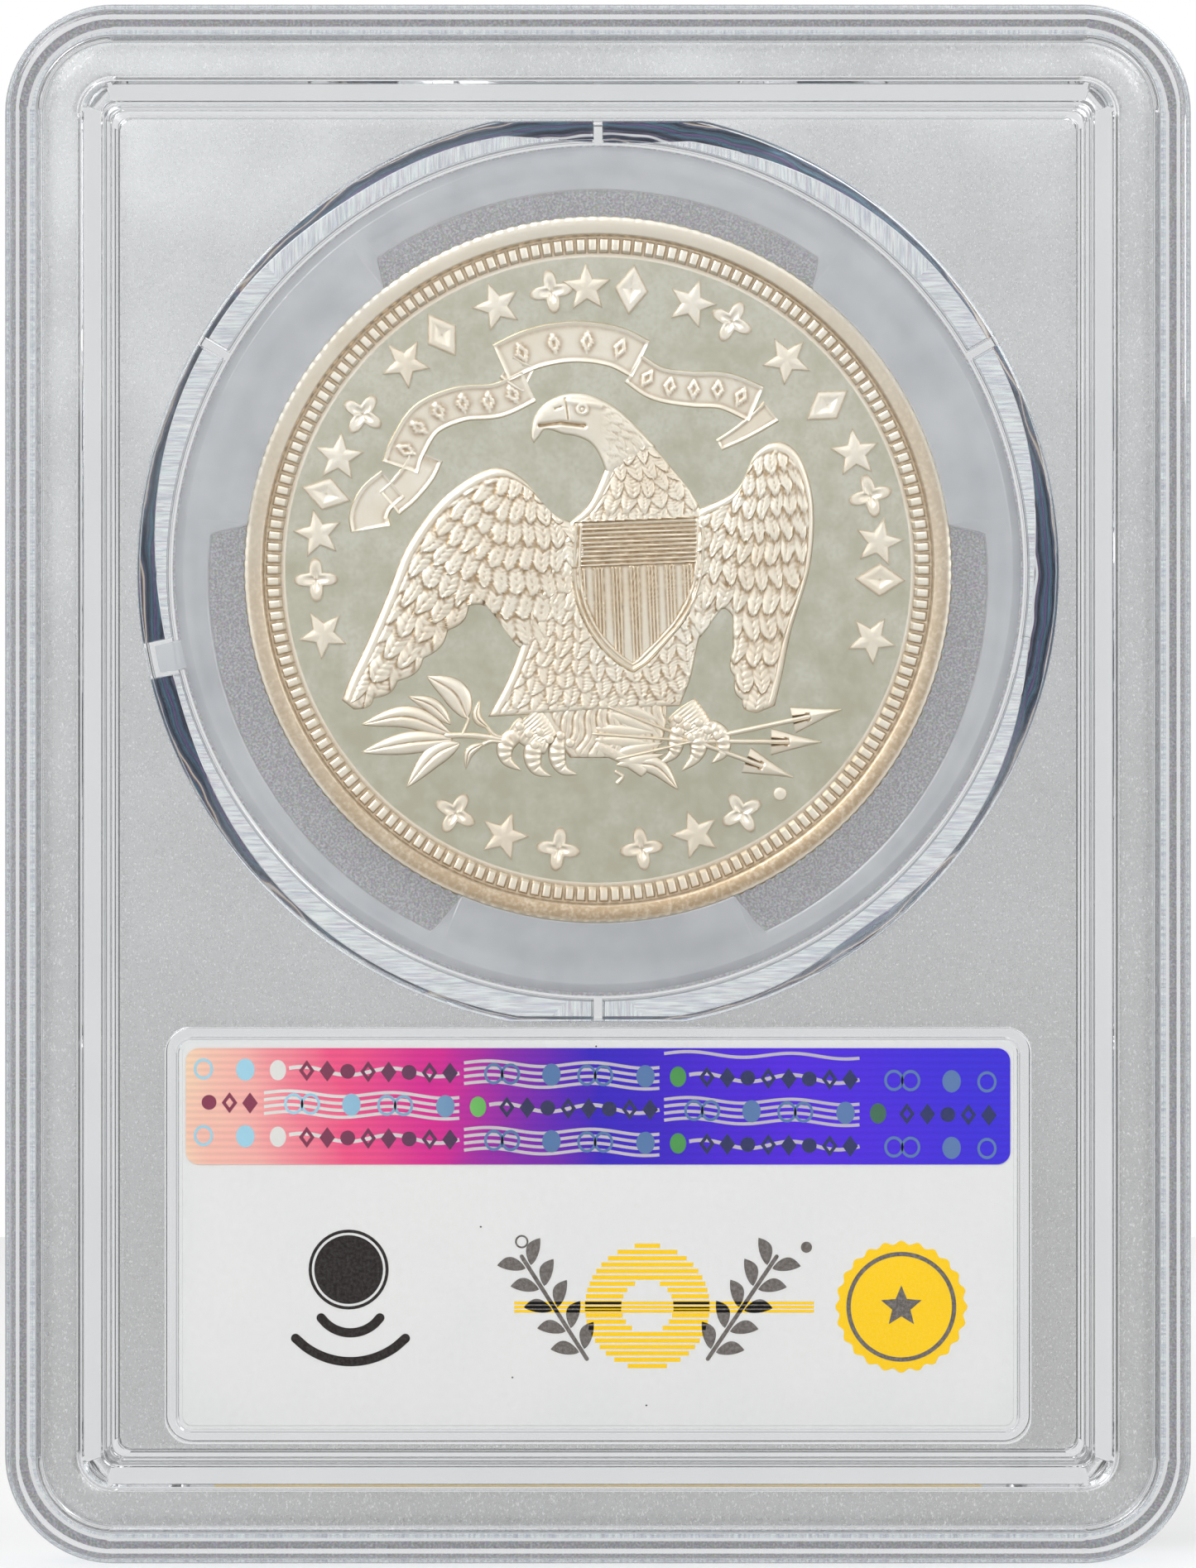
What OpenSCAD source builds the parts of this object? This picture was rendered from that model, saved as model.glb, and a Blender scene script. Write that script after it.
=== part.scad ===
// Graded coin slab: two clear half shells welded around a coin in a ring insert,
// with a two-sided label, a foil strip and a contactless tag.
// The slab stands on its short edge at Z = 0, centred on X and Y. Its rear face looks along -Y.
// Every sub-part is drawn lying down, with the rear face up, and is then stood on its edge.

/* [Slab] */
// Width of the sealed slab
slab_w = 63.5; // [63:0.1:64.5]
// Height of the sealed slab
slab_h = 83.5; // [83.2:0.1:85]
// Thickness of the sealed slab at its rim
slab_t = 8; // [7.8:0.1:8.6]
// Radius of the slab's outer corners
corner_r = 5.8; // [5.6:0.1:6.4]

/* [Windows] */
// Thickness of the clear panels
panel_t = 1.2; // [1:0.05:1.3]
// How far the panels lie below the rim's crest
panel_drop = 1; // [0.9:0.05:1.1]
// How far the polished windows stand above the panel around them
window_step = 0.12; // [0.05:0.01:0.2]

/* [Coin] */
// Diameter of the coin
coin_d = 38.1; // [37.9:0.05:38.15]
// Thickness of the coin at its rim
coin_t = 2.4; // [2.2:0.05:2.45]
// Height of the coin's centre above the slab's centre
coin_rise = 11.5; // [11.3:0.05:11.6]

/* [Ring insert] */
// Outer diameter of the ring insert
ring_d = 45.4; // [45:0.1:45.4]
// Thickness of the ring insert
ring_t = 3.5; // [3.2:0.05:3.55]
// Half the angle that each gripping prong spans
prong_half_angle = 22.6; // [18:0.2:26]

/* [Label] */
// Width of the label
label_w = 45; // [44:0.1:45.1]
// Height of the label
label_h = 20.9; // [20:0.1:20.95]
// Thickness of each label sheet
label_t = 0.22; // [0.18:0.01:0.22]
// Height of the foil strip
foil_h = 6.25; // [5:0.05:8]

/* [Hidden] */
$fn = 96;

clear = [0.86, 0.89, 0.92, 0.3];
milky = [0.8, 0.84, 0.88, 0.55];
silver = [0.86, 0.82, 0.72];
card = [0.9, 0.9, 0.88];
foil = [0.45, 0.15, 0.85];
film_blue = [0.75, 0.85, 0.9, 0.6];
aluminium = [0.78, 0.79, 0.8];
chip_black = [0.08, 0.08, 0.09];

overlap = 0.1;         // how far joined shapes run into each other
fit_gap = 0.05;        // gap between pieces that lie against each other

// Heights above the parting plane, on the rear side
crest_z = slab_t / 2;
channel_z = crest_z - 0.7;
shoulder_z = crest_z - 0.4;
panel_z = crest_z - panel_drop;
ceiling_z = panel_z - panel_t;
channel_ceiling_z = channel_z - panel_t;

// Distances inwards from the slab's edge
lip_r = 0.7;
lip_steps = 6;
crest_in = 1.75;
channel_in = 2.05;
wall_in = 2;
rib_out = 3.9;
shoulder_in = 4.05;
rib_in = 5.2;
bevel_steps = [[5.65, 0.3], [6.1, 0.12]];   // inset of each step and its height above the panel
panel_corner_r = 0.8;

// Tongue and groove of the weld joint
tongue_out = 0.8;
tongue_in = 1.4;
tongue_depth = 0.6;

// Round well that locates the ring insert, split by narrow slots
well_outer_r = 24.6;
well_inner_r = 23.05;
well_top = slab_h / 2 - bevel_steps[1][0];
slot_angles = [30, 90, 150, 270];
slot_w = 0.45;

// Pocket around the label
pocket_wall = 0.65;
pocket_gap = 0.1;
pocket_r = 0.75;
pocket_ledge = 0.35;
label_r = 0.7;
label_rise = -24.2;
pocket_top = label_rise + label_h / 2 + pocket_gap + pocket_wall;

// Layers of the label stack, from the parting plane to the rear
layer_gap = 0.01;
trace_t = 0.02;
film_t = 0.05;
chip_t = 0.04;
foil_t = 0.05;
film_z = trace_t;
trace_z = film_z + film_t;
chip_z = trace_z + trace_t;
rear_label_z = chip_z + chip_t + layer_gap;
foil_z = rear_label_z + label_t;

// Coin faces, measured from the coin's middle plane
field_z = coin_t / 2 - 0.25;
bead_z = coin_t / 2 - 0.12;
bead_inner_r = coin_d / 2 - 1.8;
bead_outer_r = coin_d / 2 - 1.05;
rim_inner_r = coin_d / 2 - 0.9;
coin_chamfer = 0.06;

// Ring insert
grip_r = coin_d / 2 + fit_gap;
grip_lip_r = coin_d / 2 - 0.15;
grip_z = coin_t / 2 + fit_gap;
ring_chamfer = 0.45;
gap_r = 20.9;
gap_drop = 0.5;        // the relief gaps are cut about a centre this far below the coin's
gap_taper = 1.9;       // degrees by which each gap narrows across the ring's width
key_angle = 191.5;     // a key on the ring sits in a wider slot of the well and stops it turning
key_w = 1.5;
key_t = 3.4;
key_gap = 0.15;

// Contactless tag: coil_w and coil_h are the size of the outer turn, between trace centre lines
tag_w = 24;
tag_h = 16;
tag_x = -9;
tag_margin = 1;
coil_w = tag_w - 2 * tag_margin;
coil_h = tag_h - 2 * tag_margin;
turns = 5;
trace_w = 0.35;
trace_pitch = 0.7;
coil_end = turns * trace_pitch;
chip_y = coil_end + 1;
pad_gap = 0.5;
pad_x = coil_end + trace_w + pad_gap;
crimp_x = pad_x + 0.6;
crimp_w = 0.3;
chip_size = 1;

function polar(r, a) = [r * cos(a), r * sin(a)];

// Stands a lying sub-part on the slab's lower edge, rear face towards -Y.
module stand()
    translate([0, 0, slab_h / 2])
        rotate([90, 0, 0])
            children();

// Rectangle with round corners, centred on the origin.
module rounded_rect(w, h, r) {
    square([w - 2 * r, h], center = true);
    square([w, h - 2 * r], center = true);
    for (sx = [-1, 1], sy = [-1, 1])
        translate([sx * (w / 2 - r), sy * (h / 2 - r)])
            circle(r);
}

// The slab's outline moved inwards, with its corner radius reduced to match.
module slab_outline(inset, r = 0)
    rounded_rect(slab_w - 2 * inset, slab_h - 2 * inset, r > 0 ? r : corner_r - inset);

module slab_band(outer_inset, inner_inset, inner_r = 0)
    difference() {
        slab_outline(outer_inset);
        slab_outline(inner_inset, inner_r);
    }

// Carries a profile of [inset, height] points round the slab's rounded outline.
module carry_round_slab(profile) {
    section = [for (p = profile) [corner_r - p.x, p.y]];
    for (turn = [0 : 3]) {
        across = turn % 2 == 0 ? slab_w / 2 : slab_h / 2;
        along = turn % 2 == 0 ? slab_h / 2 : slab_w / 2;
        rotate([0, 0, 90 * turn])
            translate([across - corner_r, along - corner_r, 0]) {
                rotate_extrude(angle = 90)
                    polygon(section);
                rotate([90, 0, 0])
                    linear_extrude(2 * (along - corner_r))
                        polygon(section);
            }
    }
}

// Cross-section of a shell's border: outer wall with a round lip, stacking channel and inner rib.
border_profile = concat(
    [[0, 0]],
    [for (i = [0 : lip_steps])
        [lip_r * (1 - cos(90 * i / lip_steps)), crest_z - lip_r * (1 - sin(90 * i / lip_steps))]],
    [[crest_in, crest_z], [channel_in, channel_z], [rib_out, channel_z], [shoulder_in, shoulder_z],
     [rib_in, shoulder_z], [rib_in, fit_gap], [rib_out, fit_gap], [rib_out, channel_ceiling_z],
     [wall_in, channel_ceiling_z], [wall_in, 0]]);

module well_outline(r)
    intersection() {
        translate([0, coin_rise])
            circle(r);
        translate([-slab_w / 2, pocket_top - pocket_wall / 2])
            square([slab_w, well_top - pocket_top + pocket_wall / 2]);
    }

module pocket_outline(grow)
    translate([0, label_rise])
        rounded_rect(label_w + 2 * grow, label_h + 2 * grow, pocket_r + grow - pocket_gap);

// Panel with its bevelled edge and its two raised windows.
module shell_panel() {
    translate([0, 0, ceiling_z])
        linear_extrude(panel_t)
            slab_outline(rib_in - 0.6);
    for (s = bevel_steps)
        translate([0, 0, panel_z - overlap])
            linear_extrude(overlap + s[1])
                slab_band(rib_in - 0.6, s[0], panel_corner_r);
    translate([0, 0, panel_z - overlap])
        linear_extrude(overlap + window_step) {
            well_outline(well_outer_r);
            pocket_outline(pocket_gap + pocket_wall);
        }
}

module well_slot(angle, w)
    rotate(angle)
        translate([well_inner_r - overlap, -w / 2])
            square([well_outer_r - well_inner_r + 2 * overlap, w]);

// Wall that hangs from the panel and surrounds the ring insert.
module coin_well()
    translate([0, 0, fit_gap])
        linear_extrude(ceiling_z + overlap - fit_gap)
            difference() {
                well_outline(well_outer_r);
                translate([0, coin_rise]) {
                    circle(well_inner_r);
                    for (a = slot_angles)
                        well_slot(a, slot_w);
                    well_slot(key_angle, key_w + 2 * key_gap);
                }
            }

// Wall round the label, with a ledge that stops the label stack at ledge_z.
module label_pocket(ledge_z) {
    translate([0, 0, fit_gap])
        linear_extrude(ceiling_z + overlap - fit_gap)
            difference() {
                pocket_outline(pocket_gap + pocket_wall);
                pocket_outline(pocket_gap);
            }
    translate([0, 0, ledge_z])
        linear_extrude(ceiling_z + overlap - ledge_z)
            difference() {
                pocket_outline(pocket_gap + pocket_wall / 2);
                pocket_outline(pocket_gap - pocket_ledge);
            }
}

module shell_body(ledge_z) {
    carry_round_slab(border_profile);
    shell_panel();
    coin_well();
    label_pocket(ledge_z);
}

module rear_shell()
    color(clear)
        stand() {
            shell_body(foil_z + layer_gap);
            translate([0, 0, -tongue_depth])
                linear_extrude(tongue_depth + overlap)
                    slab_band(tongue_out, tongue_in);
        }

module front_shell()
    color(clear)
        stand()
            mirror([0, 0, 1])
                difference() {
                    shell_body(label_t + layer_gap);
                    translate([0, 0, -overlap])
                        linear_extrude(tongue_depth + overlap + fit_gap)
                            slab_band(tongue_out - fit_gap, tongue_in + fit_gap);
                }

// Ring with three prongs that grip the coin's edge and three relief gaps between them.
module coin_ring() {
    half_gap = 60 - prong_half_angle;
    inner = polar(grip_r, half_gap);
    outer = polar(gap_r, half_gap - gap_taper);
    near = inner - 4 * (outer - inner);
    far = outer + 4 * (outer - inner);
    color(milky)
        stand()
            translate([0, coin_rise, 0]) {
                difference() {
                    rotate_extrude()
                        polygon([
                            [grip_r, -grip_z], [grip_lip_r, -grip_z], [grip_lip_r, -ring_t / 2],
                            [ring_d / 2 - ring_chamfer, -ring_t / 2],
                            [ring_d / 2, ring_chamfer - ring_t / 2],
                            [ring_d / 2, ring_t / 2 - ring_chamfer],
                            [ring_d / 2 - ring_chamfer, ring_t / 2],
                            [grip_lip_r, ring_t / 2], [grip_lip_r, grip_z], [grip_r, grip_z]]);
                    for (a = [90, 210, 330])
                        translate([0, 0, -ring_t])
                            linear_extrude(2 * ring_t)
                                intersection() {
                                    translate([0, -gap_drop])
                                        circle(gap_r);
                                    rotate(a)
                                        polygon([near, far, [far.x, -far.y], [near.x, -near.y]]);
                                }
                }
                rotate([0, 0, key_angle])
                    translate([ring_d / 2 - ring_chamfer, -key_w / 2, -key_t / 2])
                        cube([well_outer_r - key_gap - ring_d / 2 + ring_chamfer, key_w, key_t]);
            }
}

// Struck coin: sunk fields, a ring that carries the beads, and a raised rim.
module coin() {
    face = [[bead_inner_r - 0.05, field_z], [bead_inner_r, bead_z], [bead_outer_r, bead_z],
            [bead_outer_r + 0.05, field_z + 0.05], [rim_inner_r, coin_t / 2],
            [coin_d / 2 - coin_chamfer, coin_t / 2], [coin_d / 2, coin_t / 2 - coin_chamfer]];
    back = [for (i = [len(face) - 1 : -1 : 0]) [face[i].x, -face[i].y]];
    color(silver)
        stand()
            translate([0, coin_rise, 0])
                rotate_extrude()
                    polygon(concat([[0, field_z]], face, back, [[0, -field_z]]));
}

module label_sheet(z)
    color(card)
        stand()
            translate([0, label_rise, z])
                linear_extrude(label_t)
                    rounded_rect(label_w, label_h, label_r);

module front_label() label_sheet(-label_t);

module rear_label() label_sheet(rear_label_z);

// Foil strip, stuck across the rear label just below its upper edge.
module foil_strip() {
    foil_w = label_w - 0.7;
    foil_margin = 0.45;
    color(foil)
        stand()
            translate([0, label_rise + (label_h - foil_h) / 2 - foil_margin, foil_z])
                linear_extrude(foil_t)
                    rounded_rect(foil_w, foil_h, label_r);
}

// Places its children with the origin at the corner of the coil's outer turn.
module at_coil()
    translate([tag_x - coil_w / 2, label_rise - coil_h / 2, 0])
        children();

// Square columns where the two metal layers are crimped together through the film.
module crimps(w, h)
    for (p = [[0, 0], [crimp_x, chip_y]])
        translate([p.x - w / 2, p.y - w / 2, 0])
            cube([w, w, h]);

module tag_film()
    color(film_blue)
        stand()
            difference() {
                translate([tag_x, label_rise, film_z])
                    linear_extrude(film_t)
                        rounded_rect(tag_w, tag_h, label_r);
                at_coil()
                    crimps(crimp_w + 2 * layer_gap, chip_z + overlap);
            }

// Flat bar between two points of one axis, widened by half a trace all round.
module trace_bar(a, b)
    translate([min(a.x, b.x) - trace_w / 2, min(a.y, b.y) - trace_w / 2, 0])
        cube([abs(b.x - a.x) + trace_w, abs(b.y - a.y) + trace_w, trace_t]);

// Rectangular spiral behind the film, and the jumper before it that leads to the spiral's outer end.
module tag_antenna()
    color(aluminium)
        stand()
            at_coil() {
                translate([0, 0, trace_z]) {
                    for (turn = [0 : turns - 1]) {
                        a = turn * trace_pitch;
                        b = a + trace_pitch;
                        trace_bar([a, a], [a, coil_h - a]);
                        trace_bar([a, coil_h - a], [coil_w - a, coil_h - a]);
                        trace_bar([coil_w - a, coil_h - a], [coil_w - a, b]);
                        trace_bar([coil_w - a, b], [b, b]);
                    }
                    trace_bar([coil_end, coil_end], [coil_end, chip_y]);
                    trace_bar([pad_x, chip_y], [crimp_x, chip_y]);
                }
                trace_bar([0, 0], [crimp_x, 0]);
                trace_bar([crimp_x, 0], [crimp_x, chip_y]);
                crimps(crimp_w, chip_z);
            }

// Chip that bridges the spiral's inner end and the jumper's pad.
module tag_chip()
    color(chip_black)
        stand()
            at_coil()
                translate([(coil_end + pad_x - chip_size) / 2, chip_y - chip_size / 2, chip_z])
                    cube([chip_size, chip_size, chip_t]);

front_shell();
rear_shell();
coin_ring();
coin();
front_label();
rear_label();
foil_strip();
tag_film();
tag_antenna();
tag_chip();
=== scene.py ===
"""Graded coin slab: clear welded case, ring insert, struck silver coin, two-sided label, foil strip and tag.

Shapes are worked out in face coordinates, in millimetres: u to the right, v up from the slab's centre and
w out of the slab's rear face. The rear face looks along -Y. to_frame() turns them into the slab's own frame.
"""
import math

import bmesh
import bpy
import numpy as np
from bpy.props import FloatProperty, FloatVectorProperty, PointerProperty
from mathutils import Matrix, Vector
from mathutils.geometry import delaunay_2d_cdt


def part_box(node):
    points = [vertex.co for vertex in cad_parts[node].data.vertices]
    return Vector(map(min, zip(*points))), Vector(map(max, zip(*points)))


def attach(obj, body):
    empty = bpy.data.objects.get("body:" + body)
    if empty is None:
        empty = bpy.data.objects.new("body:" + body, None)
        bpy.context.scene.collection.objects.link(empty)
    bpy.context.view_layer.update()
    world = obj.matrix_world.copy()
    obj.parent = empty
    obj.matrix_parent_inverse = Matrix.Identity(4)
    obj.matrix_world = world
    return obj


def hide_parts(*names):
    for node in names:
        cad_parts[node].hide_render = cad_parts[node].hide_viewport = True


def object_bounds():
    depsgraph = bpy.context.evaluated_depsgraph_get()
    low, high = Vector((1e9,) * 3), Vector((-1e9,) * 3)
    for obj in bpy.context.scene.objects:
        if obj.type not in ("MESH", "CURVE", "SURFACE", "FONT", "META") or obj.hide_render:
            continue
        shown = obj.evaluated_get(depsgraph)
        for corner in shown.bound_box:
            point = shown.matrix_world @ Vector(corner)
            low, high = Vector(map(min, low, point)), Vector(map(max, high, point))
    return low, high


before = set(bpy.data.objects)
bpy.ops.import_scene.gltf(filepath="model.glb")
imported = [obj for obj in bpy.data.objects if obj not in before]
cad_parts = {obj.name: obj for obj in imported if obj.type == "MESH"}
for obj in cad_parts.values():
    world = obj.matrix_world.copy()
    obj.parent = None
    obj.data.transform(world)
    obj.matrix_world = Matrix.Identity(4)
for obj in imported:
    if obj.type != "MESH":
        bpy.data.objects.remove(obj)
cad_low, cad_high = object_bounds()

bl_info = {
    "name": "Graded coin slab",
    "version": (1, 0, 0),
    "blender": (4, 5, 0),
    "location": "3D View > Sidebar > Coin Slab",
    "description": "Builds a sealed clear slab with its coin, ring insert and label",
    "category": "Object",
}

MM = 0.001


def node_box(node):
    """Lowest and highest corner of a CAD node in millimetres, as arrays."""
    low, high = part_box(node)
    return np.array(low) / MM, np.array(high) / MM


SLAB_W, SLAB_T, SLAB_H = (np.array(cad_high) - np.array(cad_low)) / MM
CENTRE_Z = SLAB_H / 2
COIN_LOW, COIN_HIGH = node_box("coin")
COIN_R = (COIN_HIGH[0] - COIN_LOW[0]) / 2
COIN_V = (COIN_HIGH[2] + COIN_LOW[2]) / 2 - CENTRE_Z
RIM_W = (COIN_HIGH[1] - COIN_LOW[1]) / 2
FIELD_W = RIM_W - 0.25
RING_LOW, RING_HIGH = node_box("coin_ring")
RING_R = (RING_HIGH[2] - RING_LOW[2]) / 2
RING_W = (RING_HIGH[1] - RING_LOW[1]) / 2
LABEL_LOW, LABEL_HIGH = node_box("rear_label")
LABEL_V = (LABEL_HIGH[2] + LABEL_LOW[2]) / 2 - CENTRE_Z
LABEL_HALF = (LABEL_HIGH[[0, 2]] - LABEL_LOW[[0, 2]]) / 2
LABEL_W = -LABEL_LOW[1]
FRONT_LABEL_W = -node_box("front_label")[1][1]
FOIL_LOW, FOIL_HIGH = node_box("foil_strip")
FOIL_V = (FOIL_HIGH[2] + FOIL_LOW[2]) / 2 - CENTRE_Z
FOIL_HALF = (FOIL_HIGH[[0, 2]] - FOIL_LOW[[0, 2]]) / 2
FOIL_W = -FOIL_LOW[1]


# ---------------------------------------------------------------- meshes


def to_frame(points):
    """Face coordinates in millimetres to the slab's frame in metres: x = u, y = -w, z = v + half height."""
    u, v, w = np.asarray(points, float).T
    return np.stack([u, -w, v + CENTRE_Z], axis=1) * MM


class Parts:
    """Collects the points and faces of closed shapes that make one piece."""

    def __init__(self):
        self.points, self.tones, self.faces, self.slots, self.count = [], [], [], [], 0

    def add(self, points, faces, slot=0):
        """Adds points and a list of face arrays, each of shape (faces, corners). A fourth column of the
        points is the tone there, from 0 in creases to 1: toning of the metal with painted shade where low."""
        points = np.asarray(points, float)
        self.points.append(points[:, :3].copy())
        self.tones.append(points[:, 3] if points.shape[1] == 4 else np.ones(len(points)))
        for block in faces:
            self.faces.append(np.asarray(block) + self.count)
            self.slots.append(np.full(len(block), slot))
        self.count += len(points)

    def turned_over(self):
        """Turns everything half a turn about the v axis, onto the coin's or label's other face."""
        for block in self.points:
            block[:, 0] *= -1
            block[:, 2] *= -1

    def build(self, name, materials, angle=None, weld=0.0, flat_fills=False):
        """Makes the object: smooth where faces meet at less than the angle, sharp elsewhere. With flat_fills,
        triangles keep their own flat normal."""
        mesh = bpy.data.meshes.new(name)
        faces = [face for block in self.faces for face in block.tolist()]
        mesh.from_pydata(to_frame(np.concatenate(self.points)).tolist(), [], faces)
        mesh.polygons.foreach_set("material_index", np.concatenate(self.slots))
        mesh.attributes.new("tone", "FLOAT", "POINT").data.foreach_set("value", np.concatenate(self.tones))
        triangular = np.concatenate([np.full(len(block), block.shape[1] == 3) for block in self.faces])
        if weld:
            work = bmesh.new()
            work.from_mesh(mesh)
            bmesh.ops.remove_doubles(work, verts=work.verts, dist=weld * MM)
            work.to_mesh(mesh)
            work.free()
        if angle is not None:
            mesh.shade_smooth()
            mesh.set_sharp_from_angle(angle=math.radians(angle))
        if flat_fills:
            mesh.polygons.foreach_set("use_smooth", ~triangular)
        for material in materials:
            mesh.materials.append(material)
        piece = bpy.data.objects.new(name, mesh)
        bpy.context.scene.collection.objects.link(piece)
        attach(piece, "root")
        return piece


def grid_faces(rows, columns, closed_rows=False, closed_columns=False):
    """Quads of a grid of points stored row by row; the normal is along a column step times a row step."""
    row = np.arange(rows - (not closed_rows))
    column = np.arange(columns - (not closed_columns))
    i, j = np.meshgrid(row, column, indexing="ij")
    i, j = i.ravel(), j.ravel()
    i2, j2 = (i + 1) % rows, (j + 1) % columns
    return np.stack([i * columns + j, i * columns + j2, i2 * columns + j2, i2 * columns + j], axis=1)


def curve(points, samples):
    """Catmull-Rom curve through the points, sampled evenly in its own parameter."""
    p = np.asarray(points, float)
    p = np.concatenate([2 * p[:1] - p[1:2], p, 2 * p[-1:] - p[-2:-1]])
    t = np.linspace(0, len(points) - 1 - 1e-9, samples)
    i = t.astype(int)
    f = (t - i)[:, None]
    a, b, c, d = p[i], p[i + 1], p[i + 2], p[i + 3]
    return 0.5 * (2 * b + (c - a) * f + (2 * a - 5 * b + 4 * c - d) * f**2 + (3 * b - a - 3 * c + d) * f**3)


def smooth(low, high, x):
    """0 below low, 1 above high and an S-curve between."""
    t = np.clip((x - low) / (high - low), 0, 1)
    return t * t * (3 - 2 * t)


QUARTER = 20


def rounded_loops(half_w, half_h, insets, radii, centre=(0, 0)):
    """Rounded rectangles moved inwards by each inset: four quarter arcs each, joined by straight sides."""
    a = np.linspace(0, math.pi / 2, QUARTER + 1)
    angles = np.concatenate([a + k * math.pi / 2 for k in range(4)])
    signs = np.repeat([[1, 1], [-1, 1], [-1, -1], [1, -1]], QUARTER + 1, axis=0)
    directions = np.stack([np.cos(angles), np.sin(angles)], axis=1)
    inset = np.asarray(insets, float)[:, None, None]
    radius = np.asarray(radii, float)[:, None, None]
    reach = np.array([half_w, half_h]) - inset - radius
    return signs * reach + radius * directions + np.asarray(centre)


def swept(loops, heights):
    """Points of loops of shape (rows, columns, 2), each at its height, and the quads between them."""
    rows, columns, _ = loops.shape
    w = np.broadcast_to(np.asarray(heights, float)[:, None, None], (rows, columns, 1))
    return np.concatenate([loops, w], axis=2).reshape(-1, 3), [grid_faces(rows, columns, closed_columns=True)]


def inside(points, loops):
    """Even-odd rule: True where a ray to the right of the point crosses the loops an odd number of times."""
    odd = np.zeros(len(points), bool)
    for loop in loops:
        a, b = loop, np.roll(loop, -1, axis=0)
        x, y = points[:, :1], points[:, 1:]
        spans = (a[:, 1] > y) != (b[:, 1] > y)
        rise = np.where(a[:, 1] == b[:, 1], 1, b[:, 1] - a[:, 1])
        crossing = a[:, 0] + (y - a[:, 1]) * (b[:, 0] - a[:, 0]) / rise
        odd ^= (spans & (x < crossing)).sum(axis=1) % 2 == 1
    return odd


def flat_fill(loops, height, up):
    """Flat triangles over the area that lies inside an odd number of the loops."""
    points = np.concatenate(loops)
    edges, start = [], 0
    for loop in loops:
        index = np.arange(len(loop))
        edges += (start + np.stack([index, (index + 1) % len(loop)], axis=1)).tolist()
        start += len(loop)
    found = delaunay_2d_cdt([Vector(p) for p in points.tolist()], edges, [], 0, 1e-6)
    flat = np.array([tuple(p) for p in found[0]])
    triangles = np.array(found[2])
    triangles = triangles[inside(flat[triangles].mean(axis=1), loops)]
    if not up:
        triangles = triangles[:, ::-1]
    return np.column_stack([flat, np.full(len(flat), height)]), [triangles]


def creases(heights, passes=5, depth=0.022):
    """Tone of each point, below 1 where the relief lies lower than its own blurred height: toning and painted
    shade.
    """
    blurred = np.pad(heights, passes)
    for _ in range(passes):
        for axis in (0, 1):
            blurred = (np.roll(blurred, 1, axis) + blurred + np.roll(blurred, -1, axis)) / 3
    blurred = blurred[passes:-passes, passes:-passes]
    return np.clip(0.82 + (heights - blurred) / depth, 0, 1)


def relief_strip(left, right, heights, floor=FIELD_W - 0.1):
    """Closed relief between two edge curves: heights[s, t] above the coin's field on the straight line
    from left[s] to right[s], closed by side walls and a flat underside below the field."""
    rows, columns = heights.shape
    t = np.linspace(0, 1, columns)[None, :, None]
    plan = left[:, None] * (1 - t) + right[:, None] * t
    # Tone low in creases and near the field at the relief's foot: toning there with painted shade.
    tone = np.minimum(creases(heights), np.clip((heights - 0.02) / 0.05, 0, 1))[..., None]
    top = np.concatenate([plan, heights[..., None] + FIELD_W, tone], axis=2).reshape(-1, 4)
    sides = plan[:, [0, -1]].reshape(-1, 2)
    under = np.column_stack([sides, np.full(len(sides), floor), np.zeros(len(sides))])
    row = np.arange(rows - 1)
    base = rows * columns
    first, last = row * columns, row * columns + columns - 1
    low_a, low_b = base + 2 * row, base + 2 * row + 1
    quads = np.concatenate([
        grid_faces(rows, columns),
        np.stack([low_a, first, first + columns, low_a + 2], axis=1),
        np.stack([low_b + 2, last + columns, last, low_b], axis=1),
        np.stack([low_a, low_a + 2, low_b + 2, low_b], axis=1),
    ])
    start = np.concatenate([np.arange(columns)[::-1], [base, base + 1]])[None]
    last_row = (rows - 1) * columns + np.arange(columns)
    end = np.concatenate([last_row, [base + 2 * rows - 1, base + 2 * rows - 2]])[None]
    along, across = np.diff(plan, axis=0)[:, :-1], np.diff(plan, axis=1)[:-1]
    turning = (across[..., 0] * along[..., 1] - across[..., 1] * along[..., 0]).sum()
    faces = [quads, start, end]
    if turning < 0:
        faces = [block[:, ::-1] for block in faces]
    return np.concatenate([top, under]), faces


def ridge(points, half_width, height, samples=40, across=13, power=2.2, crease=0.0, base=0.0, lift=None):
    """Half-round relief along a curve: height times (1 - |t|^power)^0.6 across it, t from -1 to 1.
    half_width is a function of s from 0 to 1. crease cuts a groove along the middle."""
    line = curve(points, samples)
    s = np.linspace(0, 1, samples)
    tangent = np.gradient(line, axis=0)
    tangent /= np.linalg.norm(tangent, axis=1)[:, None] + 1e-12
    normal = np.stack([-tangent[:, 1], tangent[:, 0]], axis=1)
    width = half_width(s)[:, None]
    t = np.linspace(-1, 1, across)[None, :]
    round_top = (1 - np.abs(t) ** power).clip(0) ** 0.6
    scale = np.clip(width / width.max(), 0, 1) ** 0.5
    h = base + height * round_top * scale - crease * np.exp(-((t / 0.16) ** 2)) * scale
    if lift is not None:
        h = h + lift(s)[:, None] * round_top
    return relief_strip(line + normal * width, line - normal * width, h)


def even(width):
    """Constant half-width with quickly rounded ends."""
    return lambda s: width * np.clip(np.sin(math.pi * np.clip(s, 0.001, 0.999)) * 8, 0, 1) ** 0.5


def leaf(width, fullest=0.45):
    """Half-width of a leaf: zero at both ends and widest at the given share of its length."""
    shift = math.log(0.5) / math.log(fullest)
    return lambda s: width * np.sin(math.pi * s**shift).clip(0.01) ** 0.85


# ------------------------------------------------------------- materials


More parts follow.
